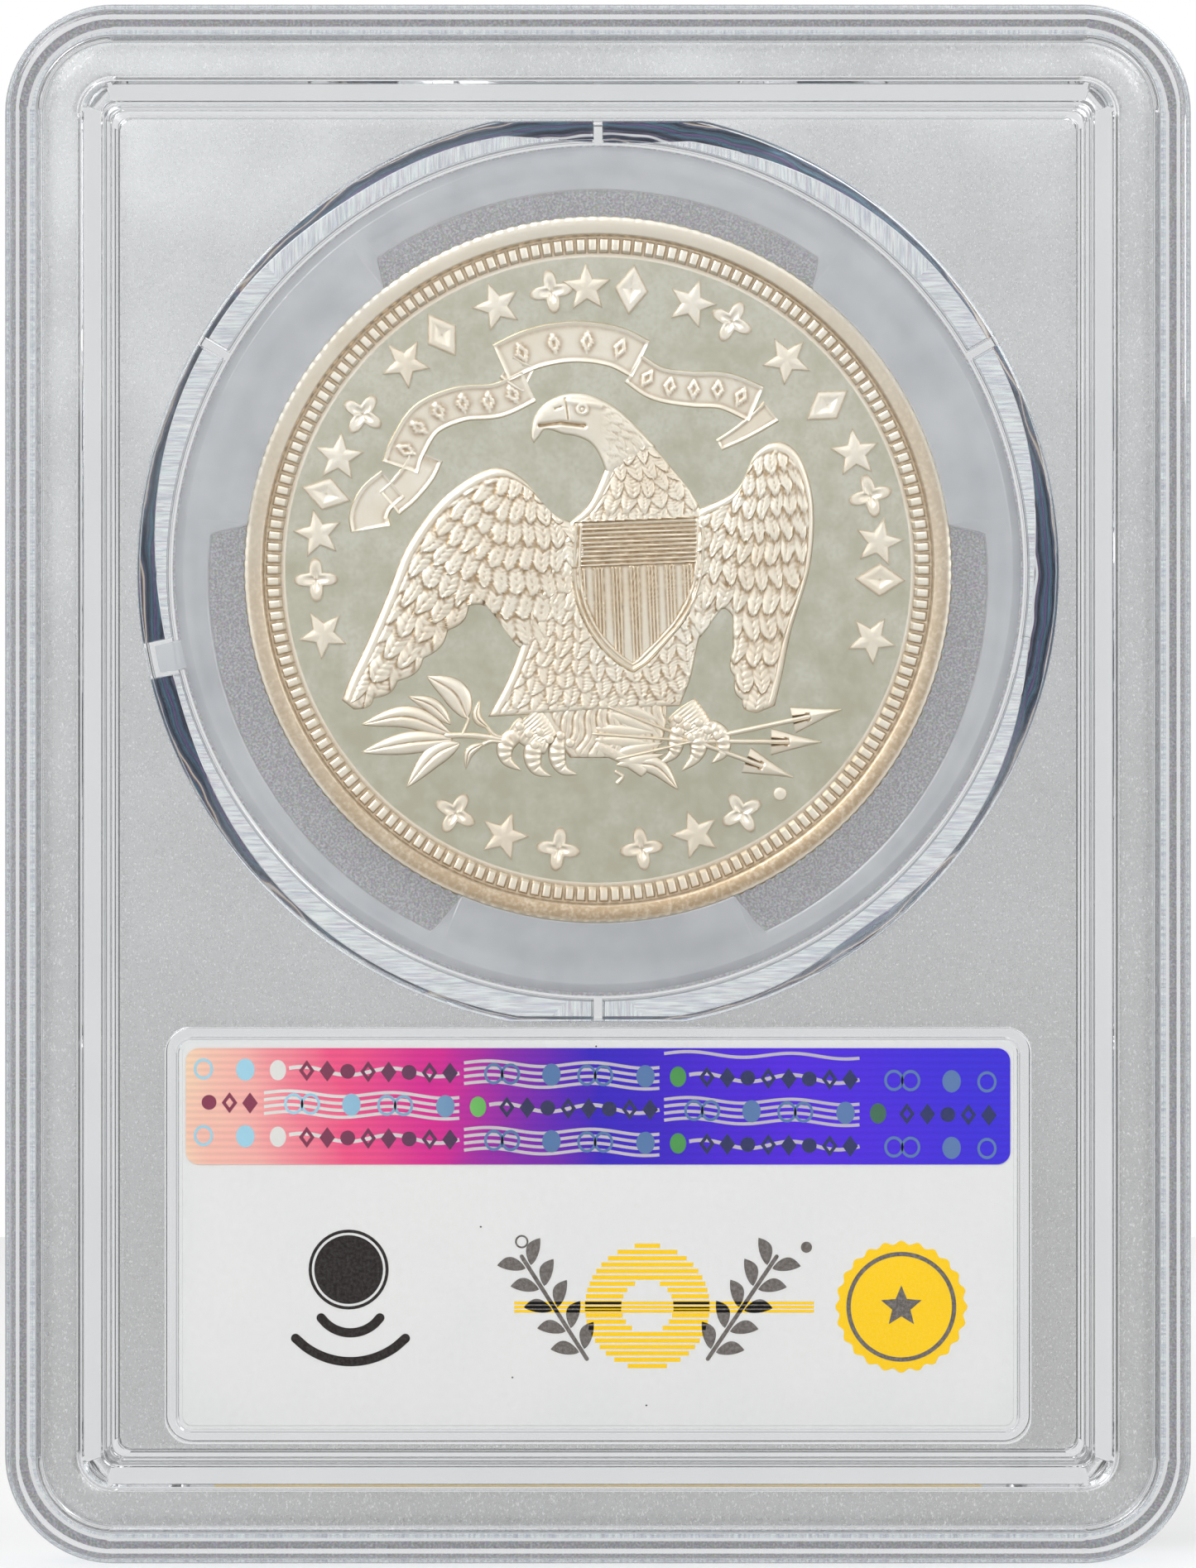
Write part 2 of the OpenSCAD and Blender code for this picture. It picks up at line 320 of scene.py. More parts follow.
class Finish:
    """Builds one procedural material. add() makes a node, sets inputs and links sockets given as values."""

    def __init__(self, name):
        self.material = bpy.data.materials.new(name)
        self.material.use_nodes = True
        self.tree = self.material.node_tree
        self.tree.nodes.clear()
        self.place = self.add("ShaderNodeTexCoord").outputs["Object"]

    def add(self, kind, inputs=None, **settings):
        node = self.tree.nodes.new(kind)
        for key, value in settings.items():
            setattr(node, key, value)
        for key, value in (inputs or {}).items():
            if isinstance(value, bpy.types.NodeSocket):
                self.tree.links.new(value, node.inputs[key])
            else:
                node.inputs[key].default_value = value
        return node

    def math(self, operation, a, b=0.0):
        return self.add("ShaderNodeMath", {0: a, 1: b}, operation=operation).outputs[0]

    def noise(self, scale, detail=2.0, rough=0.5, at=None):
        """Noise whose features are about scale millimetres across."""
        inputs = {"Vector": at or self.place, "Scale": 1 / (scale * MM), "Detail": detail, "Roughness": rough}
        return self.add("ShaderNodeTexNoise", inputs).outputs["Fac"]

    def stretched(self, sx, sy, sz):
        """The object's coordinates, multiplied along each axis."""
        return self.add("ShaderNodeMapping", {"Vector": self.place, "Scale": (sx, sy, sz)}).outputs[0]

    def ramp(self, factor, stops):
        """Colour ramp with (position, colour) stops; a colour may be one grey value."""
        node = self.add("ShaderNodeValToRGB", {"Fac": factor})
        elements = node.color_ramp.elements
        while len(elements) < len(stops):
            elements.new(0.5)
        for element, (position, colour) in zip(elements, stops):
            element.position = position
            element.color = (*colour, 1) if hasattr(colour, "__len__") else (colour, colour, colour, 1)
        return node.outputs["Color"]

    def mix(self, factor, a, b):
        """Colour a where the factor is 0 and b where it is 1."""
        node = self.add("ShaderNodeMix", {"Factor": factor}, data_type="RGBA")
        for socket, value in ((node.inputs[6], a), (node.inputs[7], b)):
            if isinstance(value, bpy.types.NodeSocket):
                self.tree.links.new(value, socket)
            else:
                socket.default_value = (*value, 1)
        return node.outputs[2]

    def bump(self, height, depth, strength=1.0):
        """Bump with a depth in millimetres."""
        inputs = {"Height": height, "Distance": depth * MM, "Strength": strength}
        return self.add("ShaderNodeBump", inputs).outputs["Normal"]

    def principled(self, **inputs):
        """Principled shader; underscores in the names stand for spaces."""
        named = {key.replace("_", " "): value for key, value in inputs.items()}
        return self.add("ShaderNodeBsdfPrincipled", named)

    def finish(self, shader, lets_light_through=False):
        """Ends the material. With lets_light_through, lamps shine straight through it."""
        out = shader.outputs[0]
        if lets_light_through:
            path = self.add("ShaderNodeLightPath")
            passing = self.math("MAXIMUM", path.outputs["Is Shadow Ray"], path.outputs["Is Diffuse Ray"])
            through = self.add("ShaderNodeBsdfTransparent", {"Color": (0.96, 0.97, 0.98, 1)})
            out = self.add("ShaderNodeMixShader", {0: passing, 1: out, 2: through.outputs[0]}).outputs[0]
        end = self.add("ShaderNodeOutputMaterial")
        self.tree.links.new(out, end.inputs["Surface"])
        return self.material


def grey(value):
    return (value, value, value, 1)


def clear_plastic():
    """Polished clear polystyrene with faint hairline scratches."""
    f = Finish("clear_polystyrene")
    scratches = f.noise(0.5, 3, at=f.stretched(1, 1, 0.06))
    haze = f.noise(6, 2)
    colour = f.ramp(haze, [(0.3, (0.955, 0.965, 0.975)), (0.7, (0.985, 0.99, 0.995))])
    shader = f.principled(
        Base_Color=colour,
        Roughness=0.015,
        IOR=1.59,
        Transmission_Weight=1.0,
        Normal=f.bump(scratches, 0.0006),
    )
    return f.finish(shader, lets_light_through=True)


def satin_plastic():
    """Same polystyrene with a fine moulded grain: blurred to look through, with painted glints as small white
    flecks.
    """
    f = Finish("satin_polystyrene")
    grain = f.noise(0.22, 2, 0.6, at=f.stretched(1, 1, 0.8))
    # Painted glints: small white flecks in the base colour stand in for highlights off the grain.
    painted_glints = f.ramp(f.noise(0.13, 1, 0.5, at=f.stretched(1.6, 1, 0.8)), [(0.6, 0.0), (0.72, 1.0)])
    place = f.add("ShaderNodeSeparateXYZ", {"Vector": f.place}).outputs
    # Painted light: the haze rises towards the top and the left, where the key softbox stands, so the panel
    # is lighter there.
    high = f.math("MULTIPLY", place["Z"], 0.45 / (SLAB_H * MM))
    aside = f.math("MULTIPLY", place["X"], -0.14 / (SLAB_W * MM))
    haze = f.math("ADD", f.math("MULTIPLY", f.noise(9, 2), 0.5), f.math("ADD", high, aside))
    base = f.ramp(haze, [
        (0.22, (0.54, 0.537, 0.533)), (0.47, (0.59, 0.59, 0.592)), (0.59, (0.64, 0.643, 0.646)),
        (0.68, (0.71, 0.716, 0.72)), (0.78, (0.83, 0.84, 0.845)),
    ])
    shader = f.principled(
        Base_Color=f.mix(painted_glints, base, (1, 1, 1)),
        Roughness=f.ramp(grain, [(0.3, 0.2), (0.7, 0.4)]),
        IOR=1.59,
        Transmission_Weight=0.82,
        Normal=f.bump(grain, 0.02, 0.8),
    )
    return f.finish(shader, lets_light_through=True)


def weld_plastic():
    """Welded and stippled faces: rough, with dark pits and faint rainbow specks."""
    f = Finish("weld_polystyrene")
    specks = f.add("ShaderNodeTexNoise", {"Vector": f.place, "Scale": 1 / (0.1 * MM), "Detail": 2.0})
    pits = f.ramp(f.noise(0.13, 2, 0.6), [(0.44, (0.03, 0.025, 0.04)), (0.64, (0.5, 0.49, 0.53))])
    shader = f.principled(
        Base_Color=f.mix(0.5, pits, specks.outputs["Color"]),
        Roughness=0.3,
        IOR=1.59,
        Transmission_Weight=0.6,
        Normal=f.bump(f.noise(0.13, 2), 0.04),
    )
    return f.finish(shader, lets_light_through=True)


def streaked_plastic():
    """Melted face beside the weld: fine pale streaks that run square to the slab's nearest side."""
    f = Finish("streaked_polystyrene")
    place = f.add("ShaderNodeSeparateXYZ", {"Vector": f.place}).outputs
    aside = f.math("SUBTRACT", f.math("ABSOLUTE", place["X"]), SLAB_W / 2 * MM)
    above = f.math("ABSOLUTE", f.math("SUBTRACT", place["Z"], CENTRE_Z * MM))
    on_side = f.math("GREATER_THAN", aside, f.math("SUBTRACT", above, SLAB_H / 2 * MM))
    level, upright = (
        f.add("ShaderNodeTexNoise", {"Vector": f.stretched(*along), "Scale": 1 / (0.1 * MM), "Detail": 2.0})
        for along in ((0.08, 1, 1), (1, 1, 0.08))
    )
    streaks = f.mix(on_side, upright.outputs["Color"], level.outputs["Color"])
    pale = f.ramp(streaks, [(0.38, (0.50, 0.55, 0.60)), (0.6, (0.93, 0.96, 0.97))])
    shader = f.principled(
        Base_Color=f.mix(0.22, pale, streaks),
        Roughness=0.25,
        IOR=1.59,
        Transmission_Weight=0.75,
        Normal=f.bump(streaks, 0.01),
    )
    return f.finish(shader, lets_light_through=True)


def stress_lines_on_painted_shade():
    """Slanted foot of the well's wall: smoky painted shade, with fine lines of stress colours that run round
    the well.
    """
    f = Finish("stress_lines_painted_shade_polystyrene")
    place = f.add("ShaderNodeSeparateXYZ", {"Vector": f.place}).outputs
    above = f.math("SUBTRACT", place["Z"], (CENTRE_Z + COIN_V) * MM)
    square = f.math("ADD", f.math("MULTIPLY", place["X"], place["X"]), f.math("MULTIPLY", above, above))
    reach = f.math("MULTIPLY", f.math("SQRT", square), 1 / (0.3 * MM))
    wander = f.math("ADD", reach, f.math("MULTIPLY", f.noise(5, 2), 5.0))
    lines = f.add("ShaderNodeTexNoise", {"W": wander, "Scale": 1.0, "Detail": 2.0}, noise_dimensions="1D")
    # Painted shade: the near-black stops darken the wall's foot where refraction makes it dark; the coloured
    # stops are stress lines.
    colour = f.ramp(lines.outputs["Fac"], [
        (0.34, (0.004, 0.006, 0.015)), (0.46, (0.02, 0.025, 0.05)), (0.50, (0.02, 0.10, 0.16)),
        (0.53, (0.02, 0.025, 0.05)), (0.57, (0.10, 0.04, 0.20)), (0.61, (0.02, 0.025, 0.05)),
        (0.66, (0.45, 0.30, 0.16)), (0.73, (0.75, 0.8, 0.85)),
    ])
    shader = f.principled(
        Base_Color=colour,
        Roughness=0.1,
        IOR=1.59,
        Transmission_Weight=0.5,
        Normal=f.bump(lines.outputs["Fac"], 0.004),
    )
    return f.finish(shader, lets_light_through=True)


def milky_plastic():
    """Insert: clear but slightly milky, with soft flow marks."""
    f = Finish("milky_insert")
    flow = f.noise(3.5, 3, 0.55)
    shader = f.principled(
        Base_Color=f.ramp(flow, [(0.3, (0.57, 0.575, 0.585)), (0.7, (0.70, 0.703, 0.705))]),
        Roughness=0.12,
        IOR=1.5,
        Transmission_Weight=0.55,
        Normal=f.bump(flow, 0.02),
    )
    return f.finish(shader, lets_light_through=True)


def coin_metal(name, light, dark, edge, roughness, grain=0.006, tone_at=5.0):
    """Silver with a blotchy warm tone, fine grain and hairlines, and painted shade towards the coin's lower
    edge.
    Creases and the relief's foot, where the tone attribute is low, keep a darker edge tone: toning with
    painted shade."""
    f = Finish(name)
    blotches = f.noise(tone_at, 4, 0.6)
    fine = f.noise(0.25, 3, 0.6)
    height = f.add("ShaderNodeSeparateXYZ", {"Vector": f.place}).outputs["Z"]
    # Painted shade: the tone climbs with height, so the coin darkens towards its lower edge as if lit from
    # above.
    low = f.math("DIVIDE", f.math("SUBTRACT", height, (CENTRE_Z + COIN_V) * MM), 2 * COIN_R * MM)
    tone = f.math("ADD", blotches, f.math("MULTIPLY", low, 0.28))
    colour = f.ramp(tone, [(0.32, dark), (0.66, light)])
    # Where the tone attribute is low the colour turns to the edge colour: toning in the hollows with painted
    # shade.
    crease = f.add("ShaderNodeAttribute", attribute_name="tone").outputs["Fac"]
    colour = f.mix(f.ramp(crease, [(0.0, 1.0), (0.5, 0.5), (0.85, 0.0)]), colour, edge)
    worn = f.mix(f.ramp(fine, [(0.45, 0.0), (0.75, 0.6)]), colour, dark)
    hairlines = f.noise(0.6, 2, at=f.stretched(1, 1, 0.05))
    fine = f.math("ADD", fine, f.math("MULTIPLY", hairlines, 0.5))
    shader = f.principled(
        Base_Color=worn,
        Metallic=1.0,
        Roughness=roughness,
        Normal=f.bump(fine, grain),
    )
    return f.finish(shader)


def paper():
    """Smooth white label stock with faint fibres."""
    f = Finish("label_stock")
    fibres = f.noise(0.35, 4, 0.7)
    shader = f.principled(
        Base_Color=f.ramp(fibres, [(0.3, (0.755, 0.74, 0.71)), (0.7, (0.80, 0.785, 0.755))]),
        Roughness=0.55,
        Normal=f.bump(fibres, 0.003),
    )
    return f.finish(shader)


def ink(name, colour, thin):
    """Printed ink: a little uneven, with the paper's grain showing."""
    f = Finish(name)
    spots = f.noise(0.18, 3, 0.7)
    paler = tuple(c + (1 - c) * thin for c in colour)
    shader = f.principled(
        Base_Color=f.ramp(spots, [(0.35, paler), (0.6, colour)]),
        Roughness=0.5,
        Specular_IOR_Level=0.1,
        Normal=f.bump(spots, 0.002),
    )
    return f.finish(shader)


def foil():
    """Iridescent embossed foil: its colour runs from cream through pink and violet to blue along the strip,
    with finely ruled cells whose shade alternates."""
    f = Finish("hologram_foil")
    across = f.add("ShaderNodeSeparateXYZ", {"Vector": f.place}).outputs
    blotch = f.math("MULTIPLY", f.math("SUBTRACT", f.noise(5, 2), 0.5), 0.12)
    slant = f.math("MULTIPLY", across["Z"], 1 / (MM * 420))
    run = f.math("DIVIDE", across["X"], 2 * FOIL_HALF[0] * MM)
    place = f.math("ADD", f.math("ADD", run, 0.5), f.math("ADD", blotch, slant))
    hues = [
        (0.0, (1.0, 0.86, 0.52)), (0.13, (1.0, 0.46, 0.40)), (0.24, (0.95, 0.09, 0.24)),
        (0.36, (0.72, 0.012, 0.28)), (0.45, (0.26, 0.01, 0.40)), (0.56, (0.03, 0.004, 0.52)),
        (0.80, (0.085, 0.008, 0.75)), (1.0, (0.04, 0.015, 0.72)),
    ]
    lines = f.add("ShaderNodeTexWave", {"Vector": f.place, "Scale": 1 / (1.2 * MM)}, bands_direction="Z")
    shade = f.ramp(lines.outputs["Fac"], [(0.2, (0.8, 0.8, 0.85)), (0.8, (1, 1, 1))])
    colour = f.add("ShaderNodeMix", {"Factor": 0.5}, data_type="RGBA", blend_type="MULTIPLY")
    f.tree.links.new(f.ramp(place, hues), colour.inputs[6])
    f.tree.links.new(shade, colour.inputs[7])
    shader = f.principled(
        Base_Color=colour.outputs[2],
        Metallic=0.1,
        Roughness=0.3,
        Normal=f.bump(lines.outputs["Fac"], 0.004),
    )
    return f.finish(shader)


def stamped(name, hues):
    """Stamped foil whose colour changes along the strip, from its left end to its right end."""
    f = Finish(name)
    across = f.add("ShaderNodeSeparateXYZ", {"Vector": f.place}).outputs["X"]
    place = f.math("ADD", f.math("DIVIDE", across, 2 * FOIL_HALF[0] * MM), 0.5)
    grain = f.noise(0.15, 2, 0.6)
    colour = f.ramp(place, [(0.12, hues[0]), (0.38, hues[1]), (0.9, hues[2])])
    shader = f.principled(
        Base_Color=f.mix(f.math("MULTIPLY", grain, 0.2), colour, (0.2, 0.2, 0.25)),
        Metallic=0.4,
        Roughness=0.35,
        Normal=f.bump(grain, 0.002),
    )
    return f.finish(shader)


def film():
    """Clear carrier film of the tag with faint rolling marks."""
    f = Finish("tag_film")
    marks = f.noise(0.6, 3, at=f.stretched(0.1, 1, 1))
    shader = f.principled(
        Base_Color=f.ramp(marks, [(0.3, (0.86, 0.90, 0.92)), (0.7, (0.93, 0.96, 0.97))]),
        Roughness=0.12,
        IOR=1.5,
        Transmission_Weight=0.8,
        Normal=f.bump(marks, 0.002),
    )
    return f.finish(shader, lets_light_through=True)


def antenna_metal():
    """Etched aluminium with rolling lines and a slightly pitted face."""
    f = Finish("tag_aluminium")
    lines = f.noise(0.4, 3, at=f.stretched(0.08, 1, 1))
    shader = f.principled(
        Base_Color=f.ramp(lines, [(0.3, (0.68, 0.69, 0.71)), (0.7, (0.80, 0.81, 0.82))]),
        Metallic=1.0,
        Roughness=f.ramp(f.noise(0.12, 2), [(0.3, 0.28), (0.7, 0.42)]),
        Normal=f.bump(lines, 0.003),
    )
    return f.finish(shader)


def chip_resin():
    """Matt black resin with fine grain."""
    f = Finish("tag_chip_resin")
    grain = f.noise(0.08, 3, 0.7)
    shader = f.principled(
        Base_Color=f.ramp(grain, [(0.3, (0.012, 0.012, 0.014)), (0.7, (0.03, 0.03, 0.035))]),
        Roughness=f.ramp(grain, [(0.3, 0.5), (0.7, 0.7)]),
        Normal=f.bump(grain, 0.004),
    )
    return f.finish(shader)


def pale_floor():
    """Plain near-white studio floor with a faint unevenness."""
    f = Finish("studio_floor")
    cloud = f.noise(60, 2)
    shader = f.principled(
        Base_Color=f.ramp(cloud, [(0.3, (0.93, 0.93, 0.93)), (0.7, (0.95, 0.95, 0.95))]),
        Roughness=0.7,
    )
    return f.finish(shader)


# ---------------------------------------------------------------- shells

CREST = SLAB_T / 2
CORNER_R = 5.8
INNER_CORNER_R = 0.75
CHANNEL = CREST - 0.7
SHOULDER = CREST - 0.4
PANEL = CREST - 1.0
STEP = PANEL + 0.12
CEILING = PANEL - 1.2
SEAM = 0.01
WELL_OUT, WELL_IN = 24.6, 23.05
WELL_TOP = SLAB_H / 2 - 6.2 - COIN_V
WELL_BOTTOM = 24.25
SLOTS = ((30, 0.45), (90, 0.45), (150, 0.45), (191.5, 1.9), (270, 0.45))
POCKET_WALL = 0.65
LEDGE = LABEL_W + 0.25


def fillet(inset, height, radius, start, end, steps=4):
    """Arc of (inset, height) points about a centre, from one angle to another in degrees."""
    a = np.radians(np.linspace(start, end, steps + 1))
    return [(inset + radius * x, height + radius * y) for x, y in zip(np.cos(a), np.sin(a))]


def border_outside(lip):
    """Section of the rim from the seam over the lip, crest, channel and shoulder to the panel."""
    return [
        (0.1, SEAM), (0.03, 0.04), (0.0, 0.12), (0.0, CREST - lip - 0.1),
        *fillet(lip, CREST - lip, lip, 180, 90, 10),
        *fillet(1.62, CREST - 0.1, 0.1, 90, 30),
        *fillet(2.1, CHANNEL + 0.12, 0.12, 210, 270),
        *fillet(3.8, CHANNEL + 0.1, 0.1, 270, 330),
        *fillet(4.12, SHOULDER - 0.1, 0.1, 150, 90),
        *fillet(5.1, SHOULDER - 0.08, 0.08, 90, 10),
        *fillet(5.3, PANEL + 0.38, 0.08, 190, 270),
        *fillet(5.6, PANEL + 0.24, 0.06, 90, 10),
        *fillet(5.74, STEP + 0.06, 0.06, 190, 270),
        *fillet(6.02, STEP - 0.06, 0.06, 90, 20),
        (6.14, PANEL),
    ]


def border_inside(tongue):
    """Section of the rim's inner side, from the panel's underside over the rib and cavity to the seam, with
    the weld's tongue in it."""
    key = [(1.42, SEAM), (1.38, SEAM - tongue), (1.25, SEAM - tongue), (1.08, SEAM - tongue),
           (0.74, SEAM - tongue), (0.7, SEAM)]
    return [
        *fillet(5.35, CEILING - 0.15, 0.15, 90, 180),
        (5.2, 0.2), (5.1, 0.05), (4.0, 0.05), (3.9, 0.2),
        *fillet(3.7, 1.95, 0.2, 0, 90),
        *fillet(2.2, 1.9, 0.25, 90, 180),
        (1.98, SEAM), (1.8, SEAM), *key, (0.1, SEAM),
    ]


def corner_radii(insets):
    return np.maximum(CORNER_R - np.asarray(insets), INNER_CORNER_R)


def slant_width(degrees):
    """Width of the slanted foot of the well's wall: narrow, and widest at the right, the top and the left."""
    width = 0.14
    bulges = ((-4, 19, 0.95), (84, 24, 0.85), (124, 14, 0.3), (194, 24, 0.85), (306, 9, 0.45))
    for middle, spread, extra in bulges:
        width = width + extra * np.exp(-(((np.mod(degrees - middle + 180, 360) - 180) / spread) ** 2))
    return width


def well_piece(start, start_half, end, end_half, grow, slant=0.0):
    """Outline of one stretch of the well's wall between two slots, thinned by grow on every side:
    an outer arc, cut flat at the top and bottom, and an inner arc back. With slant, the outer arc is drawn in
    by that share of the slanted foot's width."""
    r_out, r_in = WELL_OUT - grow, WELL_IN + grow
    gap = np.array([start_half + grow, end_half + grow])
    limits = np.radians([start, end])
    outer = limits + np.arcsin(gap / r_out) * (1, -1)
    inner = limits + np.arcsin(gap / r_in) * (1, -1)
    count = int(abs(end - start) * 1.2) + 4
    a = np.linspace(*outer, count)
    rise = np.sin(a)
    reach = np.where(rise > 0, WELL_TOP - grow, WELL_BOTTOM - grow) / np.maximum(np.abs(rise), 1e-3)
    r = np.minimum(r_out, reach) - slant * slant_width(np.degrees(a))
    b = np.linspace(*inner[::-1], count)
    arc_out = np.stack([r * np.cos(a), r * np.sin(a)], axis=1)
    arc_in = np.stack([r_in * np.cos(b), r_in * np.sin(b)], axis=1)
    return np.concatenate([arc_out, arc_in]) + (0, COIN_V)


def window_outline(shrink):
    """The round window's raised edge: the well's outer circle, cut flat at the top and bottom."""
    a = np.linspace(0, 2 * math.pi, 360, endpoint=False)
    r = WELL_OUT + 0.1 - shrink
    rise = np.sin(a)
    cut = np.where(rise > 0, WELL_TOP, WELL_BOTTOM) - shrink
    r = np.minimum(r, cut / np.maximum(np.abs(rise), 1e-3))
    return np.stack([r * np.cos(a), r * np.sin(a)], axis=1) + (0, COIN_V)


def pocket_loops(offsets):
    """Rounded outlines round the label, each pushed outwards by an offset."""
    insets = -np.asarray(offsets, float)
    return rounded_loops(*LABEL_HALF, insets, 0.7 - insets, (0, LABEL_V))


CLEAR, SATIN, WELD, STREAKED, STRESS_AND_SHADE = range(5)


def shell_parts(lip, tongue, ledge, rear):
    """One half shell as closed sheets of points: swept rim sections, flat fills and hanging walls. The rear
    shell's well wall has a slanted foot, and the front shell's ceiling is stippled behind the insert."""
    parts = Parts()
    outside = np.array(border_outside(lip))
    inside_rim = np.array(border_inside(tongue))
    half = (SLAB_W / 2, SLAB_H / 2)
    for section in (outside, inside_rim):
        loops = rounded_loops(*half, section[:, 0], corner_radii(section[:, 0]))
        points, (quads,) = swept(loops, section[:, 1])
        low, high = np.minimum(section[:-1], section[1:]), np.maximum(section[:-1], section[1:])
        level = (low[:, 1] >= CHANNEL - 0.02) & (high[:, 1] <= CHANNEL + 0.02)
        channel = level & (low[:, 0] > 2) & (high[:, 0] < 4)
        seam = (high[:, 1] <= SEAM + 0.001) & (section is inside_rim)
        weld = seam & (low[:, 0] > 0.69) & (high[:, 0] < 1.09)
        streaked = seam & (low[:, 0] > 1.24) & (high[:, 0] < 1.81)
        slots = np.select([channel & (section is outside), weld, streaked], [SATIN, WELD, STREAKED], CLEAR)
        rows = quads.reshape(len(section) - 1, -1, 4)
        for slot in (CLEAR, SATIN, WELD, STREAKED):
            parts.add(points, [rows[slots == slot].reshape(-1, 4)], slot)

    edge = rounded_loops(*half, outside[-1:, 0], corner_radii(outside[-1:, 0]))[0]
    round_rows = np.stack([window_outline(s) for s in (0.0, 0.03, 0.08, 0.13)])
    pocket_rows = pocket_loops([0.1 + POCKET_WALL, 0.09 + POCKET_WALL, 0.05 + POCKET_WALL, POCKET_WALL])
    rise = [PANEL, PANEL + 0.07, STEP - 0.02, STEP]
    parts.add(*flat_fill([edge, round_rows[0], pocket_rows[0]], PANEL, up=True), SATIN)
    parts.add(*swept(round_rows, rise))
    parts.add(*flat_fill([round_rows[-1]], STEP, up=True))
    frame_in = pocket_loops([0.15, 0.1, 0.05, 0.0])
    parts.add(*swept(pocket_rows, rise))
    parts.add(*flat_fill([pocket_rows[-1], frame_in[0]], STEP, up=True))
    parts.add(*swept(frame_in, [STEP, STEP - 0.02, PANEL + 0.02, PANEL]))
    parts.add(*flat_fill([frame_in[-1]], PANEL, up=True))

    ceiling_edge = rounded_loops(*half, inside_rim[:1, 0], corner_radii(inside_rim[:1, 0]))[0]
    holes = [ceiling_edge]
    wall = [
        (0.0, CEILING, 0), (0.03, CEILING - 0.1, 0), (0.05, 1.45, 0), (0.1, 0.12, rear), (0.14, 0.05, rear),
    ]
    for (start, gap), (end, next_gap) in zip(SLOTS, SLOTS[1:] + ((SLOTS[0][0] + 360, SLOTS[0][1]),)):
        rows = np.stack([
            well_piece(start, gap / 2, end, next_gap / 2, grow, slant) for grow, _, slant in wall
        ])
        holes.append(rows[0])
        points, (quads,) = swept(rows, [w for _, w, _ in wall])
        quads = quads.reshape(len(wall) - 1, -1, 4)
        outer = quads.shape[1] // 2 - 1
        slanted = quads[2, :outer]
        parts.add(points, [np.concatenate([quads[[0, 1, 3]].reshape(-1, 4), quads[2, outer:]])])
        # The rear well's slanted foot takes painted shade with stress lines.
        parts.add(points, [slanted], STRESS_AND_SHADE if rear else CLEAR)
        parts.add(*flat_fill([rows[-1]], wall[-1][1], up=False), STREAKED if rear else CLEAR)
    if not rear:
        rings = [disc((0, COIN_V), r, 240) for r in (WELL_IN - 0.12, COIN_R - 0.2)]
        parts.add(*flat_fill(rings, CEILING, up=False), WELD)
        parts.add(*flat_fill([rings[1]], CEILING, up=False))
        holes.append(rings[0])
    band = pocket_loops([-0.2, -0.2, 0.1, 0.1, POCKET_WALL + 0.1, POCKET_WALL + 0.1])
    parts.add(*swept(band, [CEILING, ledge, ledge, 0.05, 0.05, CEILING]))
    parts.add(*flat_fill([*holes, band[0], band[-1]], CEILING, up=False))
    return parts


# ----------------------------------------------------------- ring insert


def ring_parts():
    """Insert as one closed grid: a section of (radius, height) points turned about the coin's axis, whose
    inner radius steps out at the three gaps and whose outer radius steps out at the key."""
    sides = np.array([30, 150, 270])[:, None] + np.array([-1, 1]) * 23.75
    fine = (sides.reshape(-1, 1) + np.linspace(-2.2, 2.2, 24)).ravel()
    key_sides = (191.5 + np.array([[-1.9], [1.9]]) + np.linspace(-0.35, 0.35, 8)).ravel()
    degrees = np.unique(np.mod(np.concatenate([np.arange(0, 360, 0.75), fine, key_sides]), 360))
    a = np.radians(degrees)
    off_prong = np.abs(np.mod(degrees - 30 + 60, 120) - 60)
    share = np.clip((off_prong - 22.6) / 2.3, 0, 1)
    share = 0.55 * share + 0.45 * share * share * (3 - 2 * share)
    gap_r = np.sqrt(20.9**2 - (0.5 * np.cos(a)) ** 2) - 0.5 * np.sin(a)
    grip = 19.1 + (gap_r - 19.1) * share
    lip = grip - 0.14 * (1 - share)
    out = RING_R + 1.45 * (1 - smooth(1.7, 2.05, np.abs(degrees - 191.5)))
    top = RING_W
    one = np.ones_like(a)
    section = [
        (lip + 0.12, -top), (lip + 0.02, -top + 0.06), (lip, -top + 0.15), (lip, -1.3), (grip, -1.25),
        (grip, 1.25),
        (lip, 1.3), (lip, top - 0.15), (lip + 0.02, top - 0.06), (lip + 0.12, top),
        (one * (RING_R - 0.5), top), (one * (RING_R - 0.42), top - 0.03), (one * (RING_R - 0.06), top - 0.4),
        (RING_R * one, top - 0.5), (out, top - 0.58), (out, 0.58 - top), (RING_R * one, 0.5 - top),
        (one * (RING_R - 0.06), 0.4 - top), (one * (RING_R - 0.42), 0.03 - top), (one * (RING_R - 0.5), -top),
    ]
    radius = np.stack([r for r, _ in section], axis=1)
    height = np.stack([w * one for _, w in section], axis=1)
    points = np.stack([radius * np.cos(a)[:, None], radius * np.sin(a)[:, None] + COIN_V, height], axis=2)
    parts = Parts()
    faces = grid_faces(len(a), len(section), closed_rows=True, closed_columns=True)
    parts.add(points.reshape(-1, 3), [faces])
    return parts


# ------------------------------------------------------------------ coin

BEADS = 178
BEAD_IN, BEAD_OUT = 17.05, 17.82
REEDS = 188


